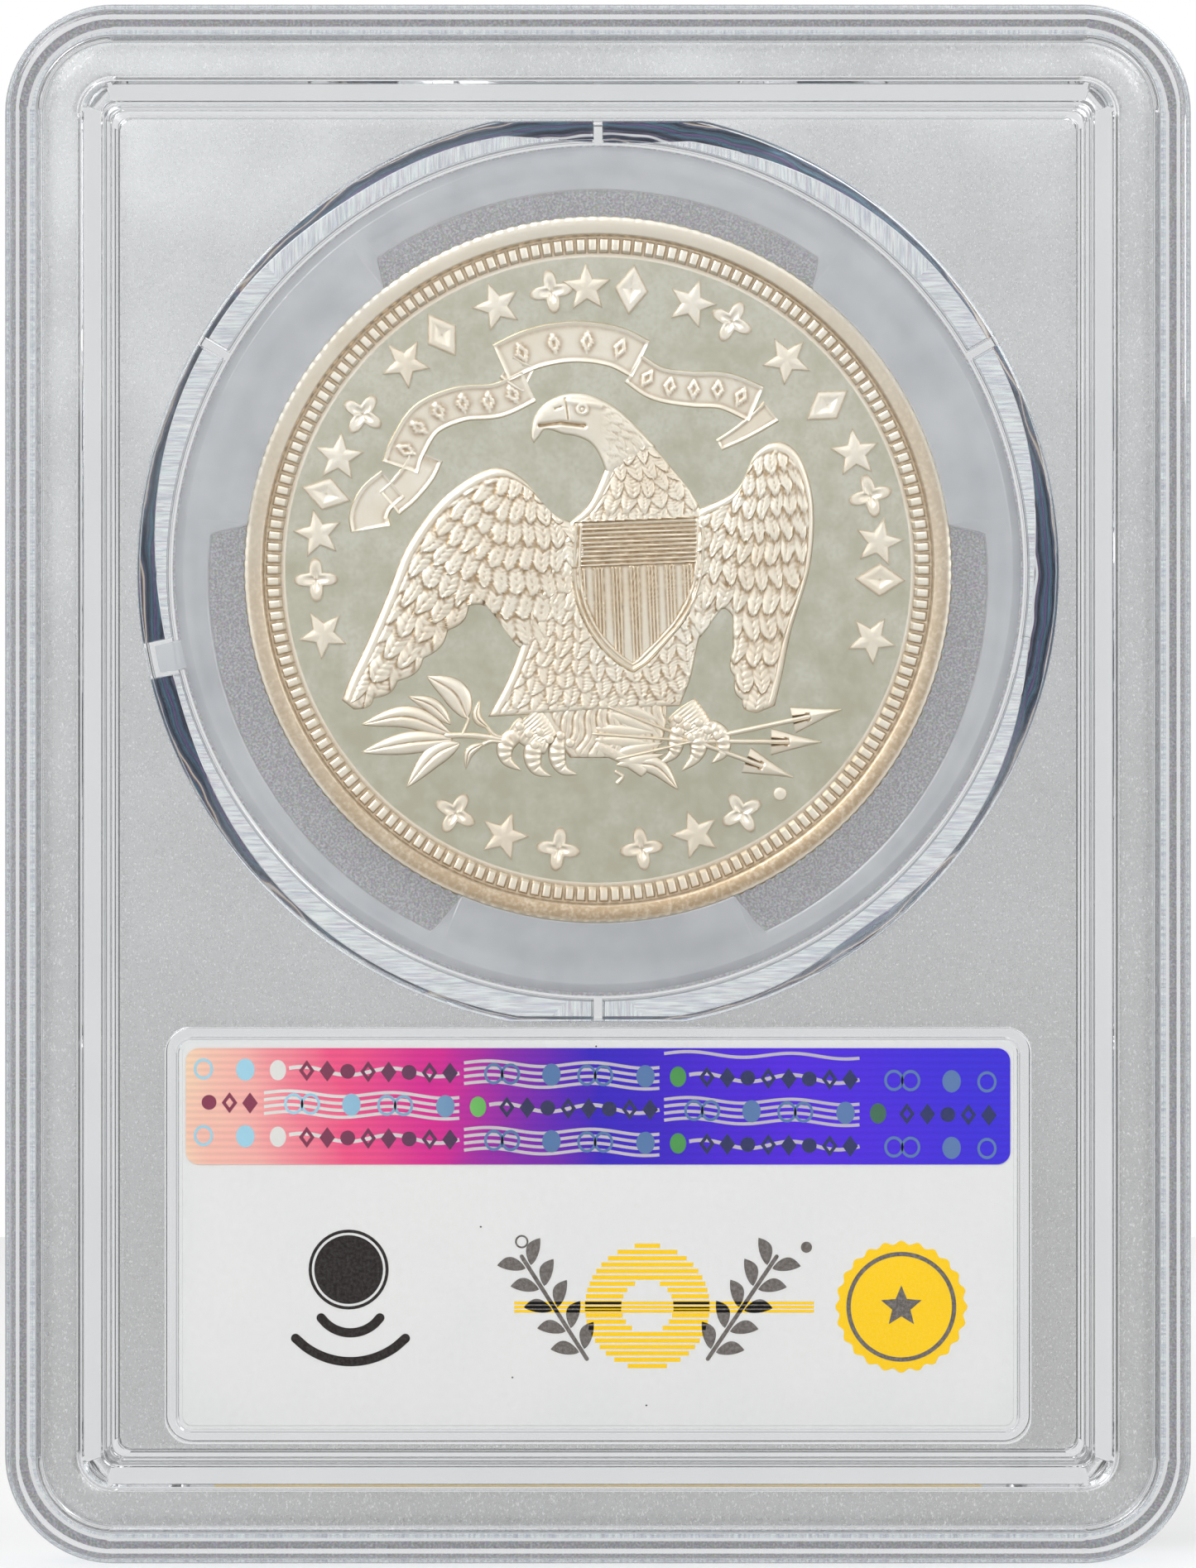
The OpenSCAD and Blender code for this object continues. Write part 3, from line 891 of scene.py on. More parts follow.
def blank_parts():
    """Coin without its relief: sections from the field over the beads and rim to the reeded edge and back.
    Beads and reeds are waves in the angle that lift or push in single rows of the grid."""
    columns = BEADS * 10
    a = np.linspace(0, 2 * math.pi, columns, endpoint=False)
    bead = np.clip(np.cos(a * BEADS) * 2.2 + 1.5, 0, 1) ** 0.8
    reed = 0.07 * np.clip(np.cos(a * REEDS) * 1.5 + 0.3, 0, 1)
    one = np.ones_like(a)
    bead_w = FIELD_W + 0.18 * bead
    half = [
        (one * (BEAD_IN - 0.25), one * FIELD_W), (one * (BEAD_IN - 0.04), one * FIELD_W),
        (one * (BEAD_IN + 0.04), FIELD_W + 0.09 * bead), (one * (BEAD_IN + 0.14), bead_w),
        (one * (BEAD_OUT - 0.3), bead_w + 0.02), (one * (BEAD_OUT - 0.08), bead_w),
        (one * BEAD_OUT, one * (FIELD_W + 0.03)), (one * (BEAD_OUT + 0.1), one * (FIELD_W + 0.03)),
        (one * (BEAD_OUT + 0.2), one * (RIM_W - 0.06)), (one * (BEAD_OUT + 0.3), one * (RIM_W - 0.01)),
        (one * (COIN_R - 0.32), one * RIM_W), (one * (COIN_R - 0.12), one * (RIM_W - 0.02)),
        (COIN_R - 0.05 - reed * 0.4, one * (RIM_W - 0.07)), (COIN_R - 0.005 - reed, one * (RIM_W - 0.16)),
    ]
    # Painted shade: the rim's tone falls towards the bottom and a little towards the right, as if lit from
    # the upper left.
    flat = 0.44 + 0.32 * np.sin(a) - 0.08 * np.cos(a)
    # Tone low between the beads, in the groove beside them and in the reed grooves: toning there with painted
    # shade.
    crown = 0.25 + 0.75 * bead
    tones = [
        one, 0.35 * one, crown, crown, crown, 0.25 + 0.5 * bead, 0.25 * one, 0.25 * one, 0.45 * one,
        flat, flat, one, flat,
    ]
    tones += [0.4 - 4 * reed]
    section = half + [(r, -w) for r, w in reversed(half)]
    radius = np.stack([r for r, _ in section])
    height = np.stack([w for _, w in section])
    tone = np.stack(tones + tones[::-1])
    points = np.stack([radius * np.cos(a), radius * np.sin(a) + COIN_V, height, tone], axis=2).reshape(-1, 4)
    faces = [grid_faces(len(section), columns, closed_columns=True)[:, ::-1]]
    parts = Parts()
    parts.add(points, faces)
    for w, order in ((FIELD_W, 1), (-FIELD_W, -1)):
        rim = np.column_stack([(BEAD_IN - 0.25) * np.cos(a), (BEAD_IN - 0.25) * np.sin(a) + COIN_V, one * w])
        hub = [[0, COIN_V, w]]
        index = np.arange(columns)
        fan = np.stack([np.full(columns, columns), index, (index + 1) % columns], axis=1)[:, ::order]
        parts.add(np.concatenate([rim, hub]), [fan], 1)
    return parts


def round_edge(distance, width):
    """Quarter-round rise: 0 at the edge and 1 from the given width inwards."""
    t = np.clip(distance / width, 0, 1)
    return np.sqrt(np.clip(1 - (1 - t) ** 2, 0, 1))


def near(plan, a, b):
    """Distance of each point from the straight line between a and b."""
    a, b = np.asarray(a, float), np.asarray(b, float)
    along = np.clip(((plan - a) @ (b - a)) / ((b - a) @ (b - a)), 0, 1)
    return np.linalg.norm(plan - a - along[..., None] * (b - a), axis=-1)


def feathers(plan, centre, length, width, grow=0.75, round_tip=0.55, groove=0.25):
    """Overlapping feathers in rows round a centre, from 0 to about 1. Row j ends at q = j + 1, where
    q = (radius / length) ^ grow, less a rounded tip; each feather rises from under the one before it."""
    offset = plan - np.asarray(centre)
    offset = offset + 0.09 * np.sin(plan[..., ::-1] * 2.3 + 1.1) + 0.05 * np.sin(plan * 5.1)
    radius, angle = np.hypot(offset[..., 0], offset[..., 1]), np.arctan2(offset[..., 1], offset[..., 0])
    angle = np.mod(angle, 2 * math.pi)
    q = (radius / length) ** grow

    def off_middle(row):
        row_radius = length * (row + 0.5) ** (1 / grow)
        column = angle * row_radius / (width * (0.8 + 0.04 * row_radius)) + 0.5 * (row % 2)
        return 2 * (column - np.round(column))

    row = np.floor(q)
    row = np.where(q < row + 1 - round_tip * off_middle(row) ** 2, row, row + 1)
    off = off_middle(row)
    along = np.clip((q - row + round_tip) / (1 + round_tip), 0, 1)
    quill = groove * np.exp(-((off / 0.2) ** 2)) * along
    barbs = 0.06 * np.sin(q * 26 + np.abs(off) * 7)
    return (along**0.8 + barbs) * (1 - 0.45 * off**2) - quill


def plumage(
    left, right, samples, columns, fill, depth=0.11, base=0.04, dome=0.07, edge=0.3, scallops=(0, 0),
    under=None
):
    """Feathered relief between two edge curves: a dome across, plus the fill pattern times its depth, rounded
    down at every edge. The right edge is scalloped as often and as far as told. Inside the outline under,
    where another piece lies on top, it stays low."""
    left, right = curve(left, samples), curve(right, samples)
    s = np.linspace(0, 1, samples)
    number, reach = scallops
    across = right - left
    width = np.linalg.norm(across, axis=1)
    right = right + across / width[:, None] * (reach * np.abs(np.sin(math.pi * number * s)))[:, None]
    width = np.linalg.norm(right - left, axis=1)[:, None]
    t = np.linspace(0, 1, columns)
    plan = left[:, None] * (1 - t[None, :, None]) + right[:, None] * t[None, :, None]
    middle = (left + right) / 2
    gone = np.concatenate([[0], np.cumsum(np.linalg.norm(np.diff(middle, axis=0), axis=1))])[:, None]
    rim = round_edge(t * width, edge) * round_edge((1 - t) * width, edge)
    rim = rim * round_edge(gone, edge) * round_edge(gone[-1] - gone, edge)
    bar = 0.5 * np.exp(-(((t * width - 0.32) / 0.24) ** 2))
    texture = np.maximum(fill(plan) * smooth(0.35, 0.7, t * width), bar)
    heights = rim * (base + dome * np.sin(math.pi * t) ** 0.7 + depth * texture)
    if under is not None:
        heights = np.where(inside(plan.reshape(-1, 2), [under]).reshape(heights.shape), 0.04, heights)
    return relief_strip(left, right, heights)


LEFT_WING = (
    [(-2.6, 3.0), (-4.0, 4.85), (-5.7, 5.45), (-8.2, 3.95), (-10.2, 1.36), (-11.3, -1.3), (-12.4, -3.9),
     (-13.3, -5.8), (-13.75, -7.0)],
    [(-1.0, 2.4), (-0.9, -0.6), (-2.0, -3.2), (-4.1, -4.1), (-6.3, -1.75), (-7.9, -3.1), (-9.7, -5.1),
     (-11.6, -6.6), (-13.1, -7.5)],
)
RIGHT_WING = (
    [(5.3, 3.2), (7.43, 4.3), (8.5, 6.3), (9.8, 6.87), (10.9, 5.95), (11.56, 3.56), (11.4, 0.26),
     (10.4, -3.2), (9.9, -5.6), (9.5, -7.3)],
    [(5.1, -0.6), (5.0, -2.4), (5.5, -3.5), (6.3, -2.45), (7.0, -1.95), (7.35, -3.3), (7.2, -4.8),
     (7.4, -6.0), (7.8, -7.1), (8.5, -7.7)],
)
BREAST = (
    [(0.9, 6.9), (0.35, 5.4), (-0.6, 3.4), (-2.2, 1.8), (-3.6, -1.6), (-4.1, -3.9), (-4.9, -6.0),
     (-5.9, -7.9)],
    [(1.9, 7.8), (3.57, 5.95), (5.4, 3.5), (6.0, 1.0), (6.2, -1.5), (5.4, -3.8), (5.0, -5.7), (4.4, -7.3)],
)
TAIL = (
    [(-3.4, -6.6), (-3.0, -7.8), (-2.3, -9.0), (-1.5, -10.1)],
    [(3.6, -6.6), (3.7, -7.8), (3.5, -9.0), (2.9, -10.1)],
)


def body_fill(plan):
    """Long neck feathers above and round breast scales below."""
    neck = feathers(plan, (1.4, 9.2), 0.62, 0.85, 0.9, 0.8)
    breast = feathers(plan, (2.0, 9.5), 0.6, 0.7, 0.92, 0.9, 0.35)
    upper = smooth(2.6, 3.4, plan[..., 1])
    return neck * upper + breast * (1 - upper)


def streaks(plan):
    """Long narrow tail feathers side by side, each with a fine quill, ending one after another."""
    u, v = plan[..., 0], plan[..., 1]
    across = np.mod((u + 0.16 * (v + 8) * (u - 0.8)) / 0.62 + 0.2 * np.sin(v * 3), 1)
    shaft = 0.3 * np.exp(-(((across - 0.5) / 0.09) ** 2))
    return 0.9 * np.sin(math.pi * across) ** 0.6 - shaft + 0.1 * np.sin(v * 9 + u * 6)


SHIELD = (
    [(-1.3, 2.55), (-1.4, 0.3), (-1.25, -1.4), (-0.75, -2.8), (0.0, -4.0), (0.95, -4.95), (1.85, -5.5)],
    [(5.75, 2.85), (5.75, 0.3), (5.35, -1.4), (4.6, -2.8), (3.6, -4.0), (2.75, -4.95), (1.95, -5.5)],
)


def shield_parts():
    """Shield between its side curves: a double raised border, level bars in the upper third and upright
    stripes in threes below, all leaning with the shield."""
    left, right = curve(SHIELD[0], 270), curve(SHIELD[1], 270)
    t = np.linspace(0, 1, 150)[None, :, None]
    plan = left[:, None] * (1 - t) + right[:, None] * t
    width = np.linalg.norm(right - left, axis=1)[:, None]
    side = np.gradient(left, axis=0)
    lean = np.abs(side[:, 1]) / (np.linalg.norm(side, axis=1) + 1e-9)
    edge = np.minimum(t[..., 0], 1 - t[..., 0]) * width * lean[:, None]
    u = plan[..., 0] + 0.04 * plan[..., 1]
    v = plan[..., 1] - 0.04 * plan[..., 0]
    bars = 0.045 * np.clip(np.cos(2 * math.pi * v / 0.245) * 1.3, -1, 1)
    step = np.mod(u + 0.25, 0.96) / 0.96
    threes = (step < 0.56) * (0.5 - 0.5 * np.cos(2 * math.pi * step * 3 / 0.56))
    stripes = 0.075 * threes - 0.03
    inner = np.where(v > 0.15, 0.14 + bars, 0.13 + stripes)
    border = 0.11 * np.exp(-(((edge - 0.14) / 0.09) ** 2)) + 0.08 * np.exp(-(((edge - 0.42) / 0.07) ** 2))
    heights = np.where(edge > 0.52, inner, 0.125 + border) * round_edge(edge, 0.1)
    heights = np.where(np.abs(v - 0.15) < 0.05, 0.1, heights)
    return relief_strip(left, right, heights * round_edge(np.linspace(0, 12, 270), 0.2)[:, None])


def head_parts():
    """Head in profile, from the nape to the hooked beak: a dome with brow, eye, nostril and mouth."""
    top = [(3.1, 6.6), (1.92, 7.85), (0.9, 8.75), (-0.3, 9.35), (-1.3, 9.5), (-2.2, 9.3), (-3.0, 8.8),
           (-3.5, 8.0), (-3.62, 7.1)]
    low = [(0.5, 5.0), (0.1, 6.1), (-0.4, 6.8), (-1.1, 7.15), (-1.9, 7.3), (-2.5, 7.5), (-2.9, 7.5),
           (-3.2, 7.1), (-3.45, 6.8)]
    left, right = curve(top, 120), curve(low, 120)
    t = np.linspace(0, 1, 70)[None, :, None]
    plan = left[:, None] * (1 - t) + right[:, None] * t
    width = np.linalg.norm(right - left, axis=1)[:, None]
    edge = np.minimum(t[..., 0], 1 - t[..., 0]) * width
    ends = np.linspace(0, 1, 120)[:, None]
    eye = np.linalg.norm(plan - (-0.85, 8.62), axis=-1)
    mouth = np.minimum(near(plan, (-3.1, 7.75), (-2.0, 7.9)), near(plan, (-2.0, 7.9), (-0.75, 7.75)))
    tuft = feathers(plan, (-2.6, 9.6), 0.5, 0.5, 0.9, 0.8) * smooth(0.0, 1.0, plan[..., 0])
    heights = (
        0.09 + 0.09 * round_edge(edge, 0.9) + 0.04 * tuft
        + 0.05 * np.exp(-(((eye - 0.24) / 0.07) ** 2)) + 0.04 * np.exp(-((eye / 0.12) ** 2))
        + 0.05 * np.exp(-((near(plan, (-1.6, 9.05), (0.1, 8.85)) / 0.15) ** 2))
        - 0.15 * np.exp(-((mouth / 0.11) ** 2))
        - 0.05 * np.exp(-((near(plan, (-2.3, 8.65), (-2.0, 8.75)) / 0.08) ** 2))
        - 0.04 * np.exp(-((near(plan, (-1.75, 9.2), (-1.6, 8.05)) / 0.07) ** 2))
    )
    heights = np.clip(heights, 0.01, 0.235) * round_edge(edge, 0.16) * round_edge(ends, 0.05)
    return relief_strip(left, right, heights * round_edge(1 - ends, 0.03))


def ribbon_piece(points, half_width, ornaments=0, samples=90, fold=(0.0, 0.0), taper=(1, 1), lozenge=0.34):
    """Flat ribbon along a curve with a raised line along each edge and evenly spaced lozenges. fold lifts or
    drops its two ends, and taper narrows them."""
    line = curve(points, samples)
    tangent = np.gradient(line, axis=0)
    step = np.linalg.norm(tangent, axis=1)
    tangent /= step[:, None]
    normal = np.stack([-tangent[:, 1], tangent[:, 0]], axis=1)
    s = np.linspace(0, 1, samples)
    width = (half_width * (taper[0] + (taper[1] - taper[0]) * s))[:, None]
    gone = (np.cumsum(step) - step[0])[:, None]
    length = gone[-1, 0]
    across = np.linspace(-1, 1, 31)[None, :] * width
    edge = width - np.abs(across)
    heights = 0.085 + 0.06 * np.exp(-(((edge - 0.1) / 0.08) ** 2)) + np.zeros_like(gone)
    heights = heights + 0.05 * np.exp(-((gone / 0.1) ** 2)) + 0.05 * np.exp(-(((length - gone) / 0.1) ** 2))
    if ornaments:
        pitch = length / (ornaments + 0.4)
        beside = np.mod(gone - 0.7 * pitch + pitch / 2, pitch) - pitch / 2
        diamond = 1 - np.abs(beside) / lozenge - np.abs(across) / (0.58 * half_width)
        hollow = np.clip(diamond * 4, 0, 1) - 0.8 * np.clip((diamond - 0.42) * 5, 0, 1)
        inside_ends = (gone > 0.2 * pitch) & (gone < length - 0.2 * pitch)
        heights = heights + 0.06 * hollow * inside_ends
    slope = np.interp(s, [0, 0.5, 1], [fold[0], 0, fold[1]])[:, None]
    heights = (heights + slope) * round_edge(edge, 0.07)
    return relief_strip(line + normal * width, line - normal * width, np.clip(heights, 0.0, 0.235))


RIBBON = (
    ([(-5.2, 11.1), (-3.4, 11.9), (-1.3, 12.25), (0.8, 12.0), (2.3, 11.3)], 1.12, 4, (0, 0), (1, 1)),
    (
        [(-3.7, 9.85), (-5.4, 9.1), (-7.4, 8.9), (-9.2, 8.1), (-10.2, 6.6), (-10.6, 5.5)],
        1.1, 6, (0, 0), (0.85, 0.95),
    ),
    ([(-9.2, 6.2), (-9.6, 5.3), (-10.4, 4.3), (-11.2, 3.6)], 0.95, 0, (-0.05, 0.02), (1, 0.9)),
    ([(-11.0, 4.6), (-11.9, 3.8), (-12.3, 2.9), (-12.2, 2.2)], 1.1, 0, (0.03, 0.0), (0.9, 1)),
    ([(-4.9, 10.9), (-4.3, 10.5), (-3.7, 10.2)], 0.8, 0, (-0.06, -0.06), (0.9, 1)),
    ([(1.9, 10.8), (3.2, 10.0), (5.0, 9.7), (6.8, 9.6), (8.5, 8.9)], 1.05, 5, (0, 0), (0.85, 1.0)),
    ([(9.3, 8.5), (8.5, 7.9), (7.6, 7.3), (6.5, 6.7)], 0.68, 0, (-0.03, 0.02), (1, 0.5)),
)


def branch_parts():
    """Olive branch: creased leaves from a stem, small buds, and the cut stub below the claws."""
    leaves = (
        ([(-7.0, -8.0), (-7.7, -6.6), (-9.2, -5.7)], 0.72),
        ([(-7.9, -8.3), (-8.9, -7.3), (-10.2, -6.8)], 0.42),
        ([(-7.9, -8.8), (-10.2, -7.9), (-12.7, -8.3)], 0.62),
        ([(-7.8, -9.1), (-10.2, -9.3), (-12.7, -9.8)], 0.62),
        ([(-7.4, -9.3), (-8.8, -10.0), (-10.3, -11.7)], 0.6),
        ([(-5.9, -8.5), (-6.5, -7.9), (-6.35, -7.0)], 0.26),
        ([(-6.1, -9.3), (-6.9, -9.8), (-7.1, -10.7)], 0.26),
        ([(2.0, -10.4), (3.2, -10.6), (4.3, -11.8)], 0.5),
    )
    blades = [ridge(points, leaf(width), 0.17, crease=0.06, samples=44) for points, width in leaves]
    stems = (
        ([(-8.3, -8.9), (-6.6, -8.9), (-4.6, -9.2)], 0.17), ([(-7.3, -8.9), (-7.0, -8.2), (-7.0, -7.9)], 0.1),
        ([(-4.6, -9.1), (-5.5, -8.9), (-6.0, -8.4)], 0.12),
        ([(-4.8, -9.3), (-5.7, -9.2), (-6.2, -9.4)], 0.12),
        ([(-0.2, -9.4), (1.2, -10.0), (2.6, -10.9)], 0.36),
        ([(0.9, -10.8), (1.3, -11.1), (1.0, -11.5)], 0.12),
    )
    return blades + [ridge(points, even(width), 0.14, samples=30) for points, width in stems]


def arrow_parts():
    """Three arrows: thin shafts, barbed heads with a raised middle, and feathered ends behind the claw."""
    tips = ((13.1, -7.5), (12.0, -9.25), (10.5, -11.15))
    parts = []
    for tip, tail in zip(tips, ((0.4, -7.3), (-0.4, -8.8), (0.9, -10.2))):
        tip, grip, tail = np.array(tip), np.array((5.2, -9.2)), np.array(tail)
        ahead = (tip - grip) / np.linalg.norm(tip - grip)
        beside = np.array((-ahead[1], ahead[0]))
        parts.append(ridge([grip, (grip + tip) / 2, tip - ahead * 1.6], even(0.14), 0.13, samples=30))
        s = np.linspace(0, 1, 40)
        back = 0.03 + 0.7 * s**1.1
        spine = tip - ahead * (2.7 * s)[:, None]
        t = np.linspace(-1, 1, 17)[None, :]
        taper = round_edge(1 - np.abs(t), 0.1) * round_edge(s, 0.05)[:, None]
        heights = 0.17 * (1 - np.abs(t) ** 1.6 * 0.75) * taper
        barb = np.where(np.abs(t) * back[:, None] > 0.2, 1.0, 1.0 - smooth(0.62, 0.7, s)[:, None])
        reach = beside * back[:, None]
        parts.append(relief_strip(spine + reach, spine - reach, heights * barb))
        away = (tail - grip) / np.linalg.norm(tail - grip)
        for side in (-0.3, 0.3):
            offset = np.array((-away[1], away[0])) * side
            start = grip + away * 1.6 + offset
            tip = tail + offset
            vane = ridge([start, (start + tip) / 2, tip], leaf(0.36, 0.6), 0.15, samples=60, crease=0.0)
            parts.append(vane)
        parts.append(ridge([grip, (grip + tail) / 2, tail], even(0.1), 0.19, samples=30))
    return parts


def claw_parts():
    """Feet: curved toes wrapped round the stem and the arrows, each ending in a pointed claw."""
    toes = (
        ([(-3.9, -8.5), (-4.9, -9.3), (-4.9, -10.2), (-4.1, -10.8)], 0.5),
        ([(-3.0, -8.8), (-3.5, -9.8), (-3.3, -10.7), (-2.5, -11.1)], 0.52),
        ([(-2.0, -8.9), (-2.2, -9.9), (-1.9, -10.7), (-1.1, -11.0)], 0.48),
        ([(4.3, -8.2), (4.2, -9.2), (4.0, -9.9), (3.2, -10.5)], 0.46),
        ([(5.0, -8.3), (5.4, -9.3), (5.2, -10.1), (4.5, -10.8)], 0.5),
        ([(5.8, -8.2), (6.6, -8.9), (6.7, -9.8), (6.1, -10.4)], 0.48),
    )
    ankles = (
        ([(-3.9, -7.9), (-3.3, -8.6), (-2.9, -9.3)], 0.95), ([(-4.6, -8.3), (-3.6, -9.0), (-2.6, -9.4)], 0.6),
        ([(4.4, -7.4), (5.0, -8.2), (5.4, -8.9)], 0.95), ([(4.0, -7.9), (5.1, -8.5), (6.1, -8.9)], 0.6),
    )
    warts = [
        boss(lambda a: np.ones_like(a), (u, v), 0, 0.24, 0.22) for u, v in (
            (-4.2, -8.4), (-3.7, -8.8), (-3.1, -8.7), (-2.6, -9.1), (-2.0, -8.9), (-1.5, -9.3), (-3.4, -9.4),
            (4.3, -8.0), (4.8, -8.4), (5.4, -8.2), (5.9, -8.6), (6.4, -8.9), (5.0, -9.0), (4.4, -8.7),
        )
    ]
    feet = [
        ridge(points, even(width), 0.16, samples=36, lift=lambda s: 0.02 * np.sin(s * 60))
        for points, width in ankles
    ]
    curled = [
        ridge(points, leaf(width, 0.3), 0.18, samples=56, lift=lambda s: 0.025 * np.sin(s * 46) * (s < 0.7))
        for points, width in toes
    ]
    return feet + curled + warts


def boss(outline, place, turn, size, height=0.17, peak=1.0, hollow=0.0):
    """Raised mark: radius = outline(angle) out of its centre, domed to a peak, or with a hollow middle."""
    a = np.linspace(0, 2 * math.pi, 60, endpoint=False)
    share = np.linspace(0, 1, 9)[1:] ** 0.8
    reach = outline(a) * size
    x, y = reach * np.cos(a + math.pi / 2), reach * np.sin(a + math.pi / 2)
    c, s = math.cos(turn), math.sin(turn)
    ring = np.stack([c * x - s * y, s * x + c * y], axis=1)
    plan = ring * share[:, None, None] + np.asarray(place)
    rise = height * (1 - share**2.5 * 0.25) * (1 - hollow * np.exp(-((share / 0.45) ** 4)))
    rise = rise * (peak + (1 - peak) * share)
    w = np.broadcast_to((FIELD_W + rise)[:, None, None], (8, 60, 1))
    # Tone low at the mark's foot and in a hollow middle: toning there with painted shade.
    tone = np.broadcast_to(np.clip((1 - share) * 5 + 0.1, 0, 1)[:, None, None], (8, 60, 1))
    top = np.concatenate([plan, w, tone], axis=2)[::-1].reshape(-1, 4)
    foot = np.column_stack([plan[-1], np.full(60, FIELD_W - 0.1), np.zeros(60)])
    points = np.concatenate([foot, top, [[*place, FIELD_W + height * peak * (1 - hollow), 1 - hollow]]])
    quads = grid_faces(9, 60, closed_columns=True)
    index = np.arange(60)
    last, hub = 8 * 60, 9 * 60
    fan = np.stack([last + index, last + (index + 1) % 60, np.full(60, hub)], axis=1)
    return points, [quads, fan, index[None, ::-1]]


def star(points, depth):
    """Outline of a star with straight sides: its radius falls from 1 at the tips to depth between them."""
    def outline(a):
        step = np.abs(np.mod(a * points / (2 * math.pi) + 0.5, 1) - 0.5) * 2
        swing = math.pi / points
        return depth * math.sin(swing) / (np.sin(swing * step) + depth * np.sin(swing * (1 - step)))

    return outline


def lozenge_outline(narrow):
    return lambda a: 1 / (np.abs(np.cos(a)) + np.abs(np.sin(a)) / narrow)


def petals(number):
    return lambda a: 0.72 + 0.28 * np.cos(a * number)


LEGEND_R = 15.15
TOP_MARKS = (
    193.2, 182, 172.7, 164.4, 156.5, 146.5, 133, 123.6, 111, 99.5, 92.3, 83.2, 70.6, 61.7,
    48, 35.7, 24.4, 15.2, 5.6, -2, -14.3,
)
LOWER_MARKS = (239.6, 250.6, 261.9, 278.9, 290.3, 300.6)


def legend_parts():
    """Ornaments all round inside the beads, upright to the centre: stars, quatrefoils and lozenges above,
    stars and rings below, and one dot."""
    kinds = (
        lambda place, turn: boss(star(5, 0.44), place, turn, 1.36, 0.18),
        lambda place, turn: boss(petals(4), place, turn, 1.18, 0.16, hollow=0.75),
        lambda place, turn: boss(lozenge_outline(0.66), place, turn, 1.36, 0.17, hollow=0.5),
    )
    parts = []
    for rank, degrees in enumerate(TOP_MARKS):
        a = math.radians(degrees)
        place = (LEGEND_R * math.cos(a), LEGEND_R * math.sin(a))
        parts.append(kinds[(0, 1, 0, 2)[rank % 4]](place, a - math.pi / 2))
    for rank, degrees in enumerate(LOWER_MARKS):
        a = math.radians(degrees)
        place = (LEGEND_R * math.cos(a), LEGEND_R * math.sin(a))
        parts.append(kinds[(1, 0, 1)[rank % 3]](place, a + math.pi / 2))
    a = math.radians(309.1)
    dot = boss(lambda angle: np.ones_like(angle), (15.5 * math.cos(a), 15.5 * math.sin(a)), 0, 0.36, 0.16)
    return parts + [dot]


def wreath_parts():
    """Front of the coin: two leafy branches tied below a plain shield, thirteen stars round them."""
    parts = []
    for side in (-1, 1):
        a = np.radians(-90 + side * np.linspace(6, 158, 9))
        stem = np.stack([10.2 * np.cos(a), 10.2 * np.sin(a)], axis=1)
        parts.append(ridge(stem, even(0.16), 0.14, samples=120))
        for degrees in np.linspace(14, 154, 15):
            for lean, reach in ((0.62, 2.5), (-0.62, 2.3)):
                b = math.radians(-90 + side * (degrees + 2.4 * (lean > 0)))
                root = np.array((10.2 * math.cos(b), 10.2 * math.sin(b)))
                heading = b + side * (math.pi / 2 - lean)
                tip = root + reach * np.array((math.cos(heading), math.sin(heading)))
                bend = (root + tip) / 2 + 0.12 * side * np.array((-math.sin(heading), math.cos(heading)))
                parts.append(ridge([root, bend, tip], leaf(0.5), 0.16, samples=22, across=11, crease=0.05))
    for a in np.radians(90 + np.linspace(-150, 150, 13)):
        place = (LEGEND_R * math.cos(a), LEGEND_R * math.sin(a))
        parts.append(boss(star(5, 0.42), place, a - math.pi / 2, 1.1, 0.17))
    bow = (
        [(0, -10.2), (-1.6, -9.2), (-2.4, -10.3), (0, -10.2)],
        [(0, -10.2), (1.6, -9.2), (2.4, -10.3), (0, -10.2)],
        [(0, -10.2), (-0.9, -11.6), (-1.8, -12.4)], [(0, -10.2), (0.9, -11.6), (1.8, -12.4)],
    )
    parts += [ridge(points, even(0.26), 0.16, samples=60) for points in bow]
    return parts


def plain_shield_parts():
    """Plain shield for the front: a raised border round a lightly ruled centre."""
    s = np.linspace(0, 1, 110)
    half = 4.3 * np.clip(1 - s**3.2, 0, 1) ** 0.75 * (1 - 0.05 * np.sin(math.pi * s)) + 0.02
    v = 5.0 - 10.2 * s
    t = np.linspace(-1, 1, 110)[None, :]
    plan_u = t * half[:, None]
    edge = np.minimum((1 - np.abs(t)) * half[:, None], (10.2 * s)[:, None])
    rule = 0.03 * np.cos(2 * math.pi * plan_u / 0.5) * (v[:, None] < 1.6)
    bars = 0.03 * np.cos(2 * math.pi * v / 0.42)[:, None] * (v[:, None] >= 1.6)
    border = 0.1 * np.exp(-(((edge - 0.18) / 0.1) ** 2)) + 0.06 * np.exp(-(((edge - 0.5) / 0.08) ** 2))
    heights = (0.12 + border + (edge > 0.62) * (rule + bars)) * round_edge(edge, 0.12)
    sides = np.stack([-half, v], axis=1), np.stack([half, v], axis=1)
    return relief_strip(*sides, np.clip(heights, 0.0, 0.235))


# ----------------------------------------------------------------- print


def printed(loops, bottom, thickness):
    """Flat plate over the area inside an odd number of the loops: printed ink or stamped foil."""
    top = flat_fill(loops, bottom + thickness, up=True)
    under = flat_fill(loops, bottom, up=False)
    shapes = [top, under]
    for loop in loops:
        shape = np.stack([loop, loop])
        points, (quads,) = swept(shape, [bottom, bottom + thickness])
        inner = sum(bool(inside(loop[:1] + 1e-7, [other])[0]) for other in loops if other is not loop) % 2
        area = (loop[:, 0] * np.roll(loop[:, 1], -1) - np.roll(loop[:, 0], -1) * loop[:, 1]).sum()
        if (area > 0) == bool(inner):
            quads = quads[:, ::-1]
        shapes.append((points, [quads]))
    return shapes


